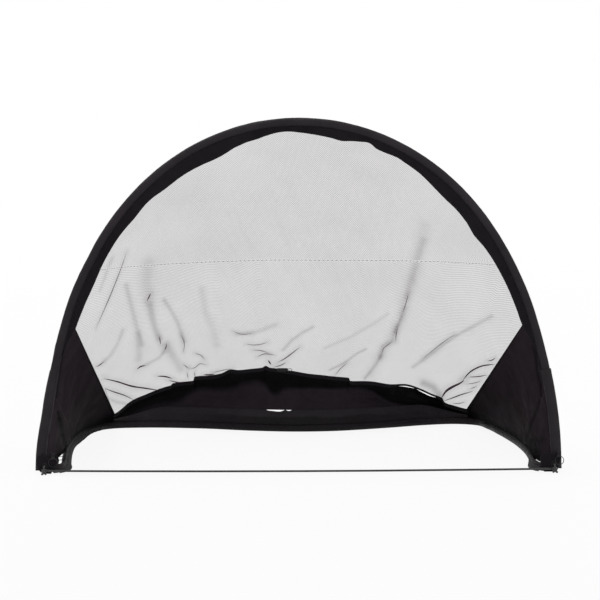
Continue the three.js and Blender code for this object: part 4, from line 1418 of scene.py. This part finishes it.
def makeNet(name, columns, rows, start, end, low, high, node):
    along = np.linspace(start, end, columns)
    share = np.linspace(0, 1, rows)[:, None]
    rise = mix(low(along)[None], high(along)[None], share)
    flat = netPoint(np.broadcast_to(along, rise.shape), rise)
    fold = netFolds(flat, np.broadcast_to(along, rise.shape), rise)
    points = flat.copy()
    points[..., 1] += fold
    pile = Pile()
    pile.grid(points, clothUv(points), gather=netGather(points, fold))
    if node == "net_lower":
        for width, gather, line in netCreases:
            if gather >= netFold["sharp"]:
                addPinch(pile, width, gather, line)
    piece = pile.make(name, [net])
    foldAlong(piece)
    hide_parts(node)
    return piece


tapeReach = seamTapeWidth / 2 + gap


# Where along the net a line that runs reach above the seam, or below it, meets the arch
def seamEnds(reach):
    along = np.linspace(0, 1, 8001)
    inside = along[seamRise(along) + reach / lineLength(along) < 0.9995]
    return float(inside[0]), float(inside[-1])


tapeEnds, upperEnds = seamEnds(-seamTapeWidth / 2), seamEnds(tapeReach)

netLower = makeNet(
    "netLower", columns=420, rows=150, start=0.0, end=1.0, low=lambda a: np.zeros_like(a),
    high=lambda a: np.where(seamRise(a) < 1, seamRise(a) - tapeReach / lineLength(a), 1.0),
    node="net_lower",
)
netUpper = makeNet(
    "netUpper", columns=380, rows=110, start=upperEnds[0], end=upperEnds[1],
    low=lambda a: seamRise(a) + tapeReach / lineLength(a), high=lambda a: np.ones_like(a),
    node="net_upper",
)

netSeam = {
    "columns": 640,
    "rows": 5,
    "gather": 0.1,
    "stitch": {"pitch": 0.011, "length": 0.0055, "radius": 0.0005},
}


def makeSeamTape():
    along = np.linspace(*tapeEnds, netSeam["columns"])
    middle, half = seamRise(along), seamTapeWidth / 2 / lineLength(along)
    share = np.linspace(0, 1, netSeam["rows"])[:, None]
    rise = mix((middle - half)[None], np.minimum(middle + half, 1)[None], share)
    points = netSurface(np.broadcast_to(along, rise.shape), rise)
    pile = Pile()
    pile.grid(points + [0, -0.0004, 0], clothUv(points), gather=netSeam["gather"])
    stitches(pile, points[2], towardsFront, 0.0008, **netSeam["stitch"])
    tape = pile.make("netSeamTape", [net, thread])
    foldAlong(tape)
    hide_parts("net_seam_tape")
    return tape


seamTape = makeSeamTape()
print("net made")


# The gussets close the sides between each leg and its rail

# Painted shade in creases and painted light on soft folds of the gussets and patches, placed in
# the photograph's frame like the net's: how wide in its pixels, how much painted shade (or, below
# 0, painted light), and the points of each
gussetCreases = {
    -1: [
        (1.3, 0.9, [(66, 343), (62.5, 352), (59.5, 372), (57.5, 385), (56.5, 397)]),
        (1.2, 1.0, [(57.8, 411), (59, 418)]),
        (2.0, 1.3, [(59.5, 419), (61, 427), (62.3, 434)]),
        (1.3, 1.0, [(62.5, 434), (64, 441), (66.5, 448)]),
        (4.5, -0.3, [(71, 440), (78, 433), (86, 429)]),
    ],
    1: [
        (1.4, 0.9, [(533, 346), (536, 356), (537, 370), (540.5, 384), (541.5, 396)]),
        (1.5, 0.7, [(540, 400), (535, 415), (530, 428), (527, 437), (526, 450)]),
        (5.0, 0.9, [(529, 446), (535, 451)]),
        (4.0, 0.45, [(533, 441), (543, 440)]),
        (5.5, -0.3, [(497, 420), (508, 421), (520, 428)]),
    ],
}


sideGusset = {
    "rows": 170,
    "columns": 180,
    "thick": 0.0011,  # the patch's too
    "crease": 0.0045,
    "ripple": 0.0006,
    "mark": 0.0018,  # how deep the darkest of the creases above is
    "sunk": 0.003,  # how deep its lower edge is sewn into the sleeve
    # how much painted shade it has at the ground sleeve
    "shade": 0.9,
    "stitched": (3, -4),  # its rows with stitches
}


# How much painted shade the creases above lay on the cloth, which they also move
def creaseGusset(points, hand):
    spots, shade = inPhoto(points), 0.0
    for width, darker, line in gussetCreases[hand]:
        ridge = np.exp(-((offLine(spots, line) / width) ** 2))
        shade = shade + darker * ridge
        points[..., 0] += hand * sideGusset["mark"] * np.clip(darker, -1, 1) * ridge
    return shade


# Painted shade: the cloth is darker towards the ground sleeve
def railShade(across):
    return sideGusset["shade"] * np.clip(across, 0, 1) ** 1.4


def makeGusset(name, hand):
    along = np.linspace(0, 1, sideGusset["rows"])[:, None]
    across = np.linspace(0, 1, sideGusset["columns"])[None]
    points = gussetPoint(hand, along, across)
    long = across * 0.7
    tall = along * netCornerRise[hand]
    held = np.sin(math.pi * across) ** 0.6 * np.sin(math.pi * along) ** 0.6
    crease = roughBumps((long + 0.5 * tall) / 0.14, tall / 0.09, 81 + hand)
    ripple = roughBumps(long / 0.05, tall / 0.03, 85 + hand)
    points[..., 0] += (sideGusset["crease"] * crease + sideGusset["ripple"] * ripple) * held
    points[..., 2] -= sideGusset["sunk"] * ease((across - 0.985) / 0.015)
    # it is painted in shade beside the net too, and just above the ground sleeve behind the patch
    length = np.linalg.norm(np.diff(points, axis=1), axis=-1).sum(1)[:, None]
    aboveRail = (1 - across) * length + 0.006 * roughBumps(along * 9, across * 3, 89 + hand)
    behindPatch = ease((across - (0.3 if hand < 0 else 0)) / 0.2)
    shade = railShade(across) + 0.7 * ease((along - 0.955) / 0.03)
    shade = shade + ease((0.034 - aboveRail) / 0.016) * behindPatch
    shade = np.clip(shade + creaseGusset(points, hand), 0, 1)
    pile = Pile()
    pile.cloth(points, sideGusset["thick"], gather=shade)
    for row in sideGusset["stitched"]:
        for side in (1, -1):
            stitches(pile, points[row], (-side * hand * 1.0, 0, 0), 0.0006)
    piece = pile.make(f"gusset{name.capitalize()}", [gussetCloth, thread], mark="shade")
    foldAlong(piece)
    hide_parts(f"gusset_{name}")
    return piece


# The patch lies inside the gusset's lower front corner. Its free edge stands off a little
cornerPatch = {
    "rows": 90,
    "columns": 110,
    "lift": 0.0016,
    "freeLift": 0.002,
    "ripple": 0.0016,
}


def makePatch(name, hand):
    up = np.linspace(0, 1, cornerPatch["rows"])[:, None]
    across = np.linspace(0.004, 0.985, cornerPatch["columns"])[None]
    top = mix(patchLegShare, patchRailShare, across)
    points = gussetPoint(hand, mix(0.004, top, up), across)
    free = np.sin(math.pi * across) ** 0.8
    lift = cornerPatch["lift"] + cornerPatch["freeLift"] * free * up**5
    ripple = cornerPatch["ripple"] * roughBumps(across * 5, up * 2, 101 + hand)
    points[..., 0] -= hand * (lift + ripple * np.sin(math.pi * up) * free)
    # Painted shade: darker towards the ground sleeve and near its lower edge
    shade = railShade(across) + ease((0.2 - up) / 0.15) * ease((across - 0.25) / 0.2)
    shade = np.clip(shade + creaseGusset(points, hand), 0, 1)
    pile = Pile()
    pile.cloth(points, sideGusset["thick"], gather=shade)
    stitches(pile, points[-5], (-hand * 1.0, 0, 0), 0.0005)
    piece = pile.make(f"cornerPatch{name.capitalize()}", [gussetCloth, thread], mark="shade")
    foldAlong(piece)
    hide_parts(f"corner_patch_{name}")
    return piece


for sideName, sideHand in (("left", -1), ("right", 1)):
    gusset, patch = makeGusset(sideName, sideHand), makePatch(sideName, sideHand)
print("gussets made")


# The front corners: a boot of doubled cloth with a set eyelet, and a webbing tab with its ring

# Each boot's outer lower corner is rounded or cut, and so is its inner one, beside the bare hoop
boots = {
    -1: {"outerCut": [(0, 0.017), (0.004, 0.009), (0.009, 0.0045), (0.018, 0.0006), (0.05, 0)],
         "innerCut": [(0, 0.016), (0.01, 0.0105), (0.02, 0.001), (0.05, 0)]},
    1: {"outerCut": [(0, 0.016), (0.006, 0.0115), (0.02, 0.006), (0.034, 0.0008), (0.05, 0)],
        "innerCut": [(0, 0.008), (0.01, 0.0045), (0.018, 0.0005), (0.05, 0)]},
}


bootShape = {"rows": 64, "columns": 60, "corner": 0.012, "pucker": 0.0005}


def makeBoot(name, hand):
    low, high = (np.array(corner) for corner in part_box(f"corner_boot_{name}"))
    u = np.linspace(0, 1, bootShape["columns"])[None]
    z = np.linspace(low[2], high[2], bootShape["rows"])[:, None]
    corner = bootShape["corner"]
    fromTop = np.clip((z - (high[2] - corner)) / corner, 0, 1)
    shrink = corner * (1 - np.sqrt(np.clip(1 - fromTop**2, 0, 1)))
    outer = through(boots[hand]["outerCut"], z) + shrink
    inner = through(boots[hand]["innerCut"], z) + shrink
    left, right = (outer, inner) if hand < 0 else (inner, outer)
    x = mix(low[0] + left, high[0] - right, u)
    pucker = bootShape["pucker"] * roughBumps(x / 0.012, z / 0.012, 91 + hand)
    y = np.broadcast_to((low[1] + high[1]) / 2 + pucker, x.shape)
    points = np.stack([x, y, np.broadcast_to(z, x.shape)], -1)
    pile = Pile()
    pile.cloth(points, bootThick * 0.8)
    rim = np.concatenate([points[2:-3, 2], points[-4, 3:-3], points[-4:1:-1, -3]])
    stitches(pile, rim, towardsFront, bootThick * 0.4)
    # The boots take the darker facing cloth, whose extra darkness is painted shade
    boot = pile.make(f"cornerBoot{name.capitalize()}", [facingCloth, thread])
    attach(boot, "base")
    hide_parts(f"corner_boot_{name}")


# Ribbed tape along the ground sleeve's inner side, from each front corner on: how wide it lies on
# the floor, over the distance from the hoop's end
bindings = {
    -1: [(0.022, 0.007), (0.06, 0.0115), (0.15, 0.0095), (0.3, 0.0085), (0.42, 0.007),
         (0.5, 0.0105), (0.6, 0.0105), (0.72, 0.001)],
    1: [(0.022, 0.0095), (0.06, 0.0085), (0.1, 0.006), (0.15, 0.001)],
}
bindingTapes = {"columns": {-1: 240, 1: 90}, "rows": 12, "high": 0.0125, "low": 0.0012}


def makeBinding(name, hand):
    far = np.linspace(bindings[hand][0][0], bindings[hand][-1][0], bindingTapes["columns"][hand])
    shares = far / loopLength if hand < 0 else 1 - far / loopLength
    width = through(bindings[hand], far)
    across = np.linspace(0, 1, bindingTapes["rows"])
    outward = -sleeveDepth / 2 + 0.0012 - width[:, None] * across[None] ** 0.8
    waver = 0.0008 * roughBumps(far[:, None] / 0.012, across[None] * 2, 131 + hand)
    high = mix(bindingTapes["high"], bindingTapes["low"], across[None] ** 1.4) + waver
    points = onLoop(np.broadcast_to(shares[:, None], outward.shape), outward, high)
    pile = Pile()
    pile.cloth(points, 0.0011)
    tape = pile.make(f"sleeveBinding{name.capitalize()}", [bindingTape, thread])
    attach(tape, "base")
    return tape


# Threads that hold the gusset's front line to the ground sleeve
tie = {"places": (0.35, 0.62), "radius": 0.0007}


def makeTies(name, hand):
    pile = Pile()
    for along in tie["places"]:
        start = gussetPoint(hand, 0.0, along)
        first, last = groundSleeve["start"] + 0.02, gussetFrontShare[hand] * loopLength
        share = mix(first, last, along) / loopLength
        end = onLoop(share if hand < 0 else 1 - share, 0.004, sleeveWidth)
        middle = (start + end) / 2 + [0, 0, 0.001]
        roundTube(pile, smoothLine([start, middle, end], 12), tie["radius"], sides=8)
    ties = pile.make(f"gussetTies{name.capitalize()}", [thread])
    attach(ties, "base")


# A doubled tape round the ring, sewn to the boot above it
ringTab = {"radius": 0.00265, "height": 0.0032, "thick": 0.0009, "columns": 10}


def makeTab(name):
    low, high = (np.array(corner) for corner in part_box(f"ring_tab_{name}"))
    centreY, centreZ = (low[1] + high[1]) / 2, low[2] + ringTab["height"]
    angle = np.linspace(-0.5 * math.pi, 1.5 * math.pi, 40) + math.pi / 2
    loop = np.stack([
        np.zeros(40), centreY + ringTab["radius"] * np.cos(angle),
        centreZ + ringTab["radius"] * np.sin(angle),
    ], -1)
    tail = np.stack([
        np.zeros(16), np.full(16, high[1] - 0.0005), np.linspace(centreZ + 0.001, high[2], 16),
    ], -1)
    pile = Pile()
    for line in (loop, tail):
        points = np.repeat(line[:, None], ringTab["columns"], 1)
        points[..., 0] = np.linspace(low[0], high[0], ringTab["columns"])[None]
        pile.cloth(points, ringTab["thick"])
    tab = pile.make(f"ringTab{name.capitalize()}", [webbing, thread])
    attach(tab, "base")
    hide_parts(f"ring_tab_{name}")


for sideName, sideHand in (("left", -1), ("right", 1)):
    makeBoot(sideName, sideHand)
    makeTab(sideName)
    tape = makeBinding(sideName, sideHand)
    makeTies(sideName, sideHand)
print("corners made")


# The stow tab and its loop on the hem
stow = {"rows": 18, "columns": 30, "thick": 0.0014, "waver": 0.0008, "cord": 0.0008}


def makeStowTab():
    low, high = (np.array(corner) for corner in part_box("stow_tab"))
    u = np.linspace(0, 1, stow["columns"])[None]
    v = np.linspace(0, 1, stow["rows"])[:, None]
    x = low[0] + (high[0] - low[0]) * u
    y = mix(high[1], low[1], v) + stow["waver"] * roughBumps(u * 2.2, v * 1.5, 95)
    points = np.stack(np.broadcast_arrays(x, y, mix(low[2], high[2], v)), -1)
    pile = Pile()
    pile.cloth(points, stow["thick"])
    stitches(pile, points[-3], towardsFront, 0.0007)
    tab = pile.make("stowTab", [webbing, thread])
    foldAlong(tab)
    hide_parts("stow_tab")


def makeStowLoop():
    low, high = (np.array(corner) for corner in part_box("stow_loop"))
    centre, radius = (low + high) / 2, (high[0] - low[0]) / 2 - 0.0009
    angle = np.linspace(0, 2 * math.pi, 60)
    slope = (high[1] - low[1]) / max(high[2] - low[2], 1e-6)
    z = (high[2] - low[2]) / 2 * np.sin(angle)
    ring = centre + np.stack([radius * np.cos(angle), -slope * z * 0.8, z * 0.85], -1)
    pile = Pile()
    roundTube(pile, ring, stow["cord"], sides=10)
    loop = pile.make("stowLoop", [braid])
    foldAlong(loop)
    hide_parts("stow_loop")


makeStowTab()
makeStowLoop()
print("stow tab made")


# The pieces that stay as the CAD has them
for nodeName, look in {
    "ground_spring": springSteel, "spring_ferrule": springSteel,
    "eyelet_left": blackSteel, "eyelet_right": blackSteel,
    "peg_ring_left": wireSteel, "peg_ring_right": wireSteel,
}.items():
    kept = frame["nodes"][nodeName].data
    kept.materials.clear()
    kept.materials.append(look)
    for face in kept.polygons:
        face.use_smooth = nodeName.startswith(("eyelet", "peg"))


# Floor, lamps and sky

light = {
    "key": 1.25,
    "keyWidth": 14,  # degrees that the lamp spans in the sky
    "fill": 0.45,
    "fillWidth": 70,
    "sky": 0.6,
    "floor": 0.86,
    "floorSize": 60,
    "floorHeight": -0.0006,
    "floorSeen": 0.05,  # what the camera sees of the lit floor, over a plain white of its own
    "floorLift": 0.903,
}


def makeFloor():
    mesh = bpy.data.meshes.new("floor")
    size = light["floorSize"]
    corners = [(-size, -size, 0), (size, -size, 0), (size, size, 0), (-size, size, 0)]
    mesh.from_pydata(corners, [], [(0, 1, 2, 3)])
    floor = bpy.data.objects.new("floor", mesh)
    bpy.context.scene.collection.objects.link(floor)
    floor.location.z = light["floorHeight"]
    pale = (light["floor"],) * 3
    look = Look("floorLook", pale, 0.9)
    seen = look.seen()
    look.shade(seen, pale, (light["floorSeen"],) * 3)
    lift = look.math("MULTIPLY", seen, light["floorLift"])
    look.set(glow=(1, 1, 1, 1), glowStrength=lift, specular=0.1)
    mesh.materials.append(look.material)


def makeLamp(name, towards, width, strength):
    data = bpy.data.lights.new(name, "SUN")
    data.angle = math.radians(width)
    data.energy = strength
    lamp = bpy.data.objects.new(name, data)
    bpy.context.scene.collection.objects.link(lamp)
    lamp.rotation_euler = Vector(towards).to_track_quat("-Z", "Y").to_euler()


def makeSky():
    world = bpy.data.worlds.new("sky")
    bpy.context.scene.world = world
    world.use_nodes = True
    sky = Nodes(world.node_tree)
    strength = sky.add("ShaderNodeMapRange", {
        "Value": sky.seen(), "To Min": light["sky"], "To Max": 1.0,
    })
    background = sky.add("ShaderNodeBackground", {
        "Color": (1, 1, 1, 1), "Strength": strength.outputs[0],
    })
    sky.add("ShaderNodeOutputWorld", {"Surface": background.outputs[0]})


makeFloor()
makeSky()
makeLamp("key", (0.25, -0.3, -1), light["keyWidth"], light["key"])
makeLamp("fill", (-0.3, 1, -0.8), light["fillWidth"], light["fill"])
bpy.context.scene.view_settings.view_transform = "Standard"
print("stage made")
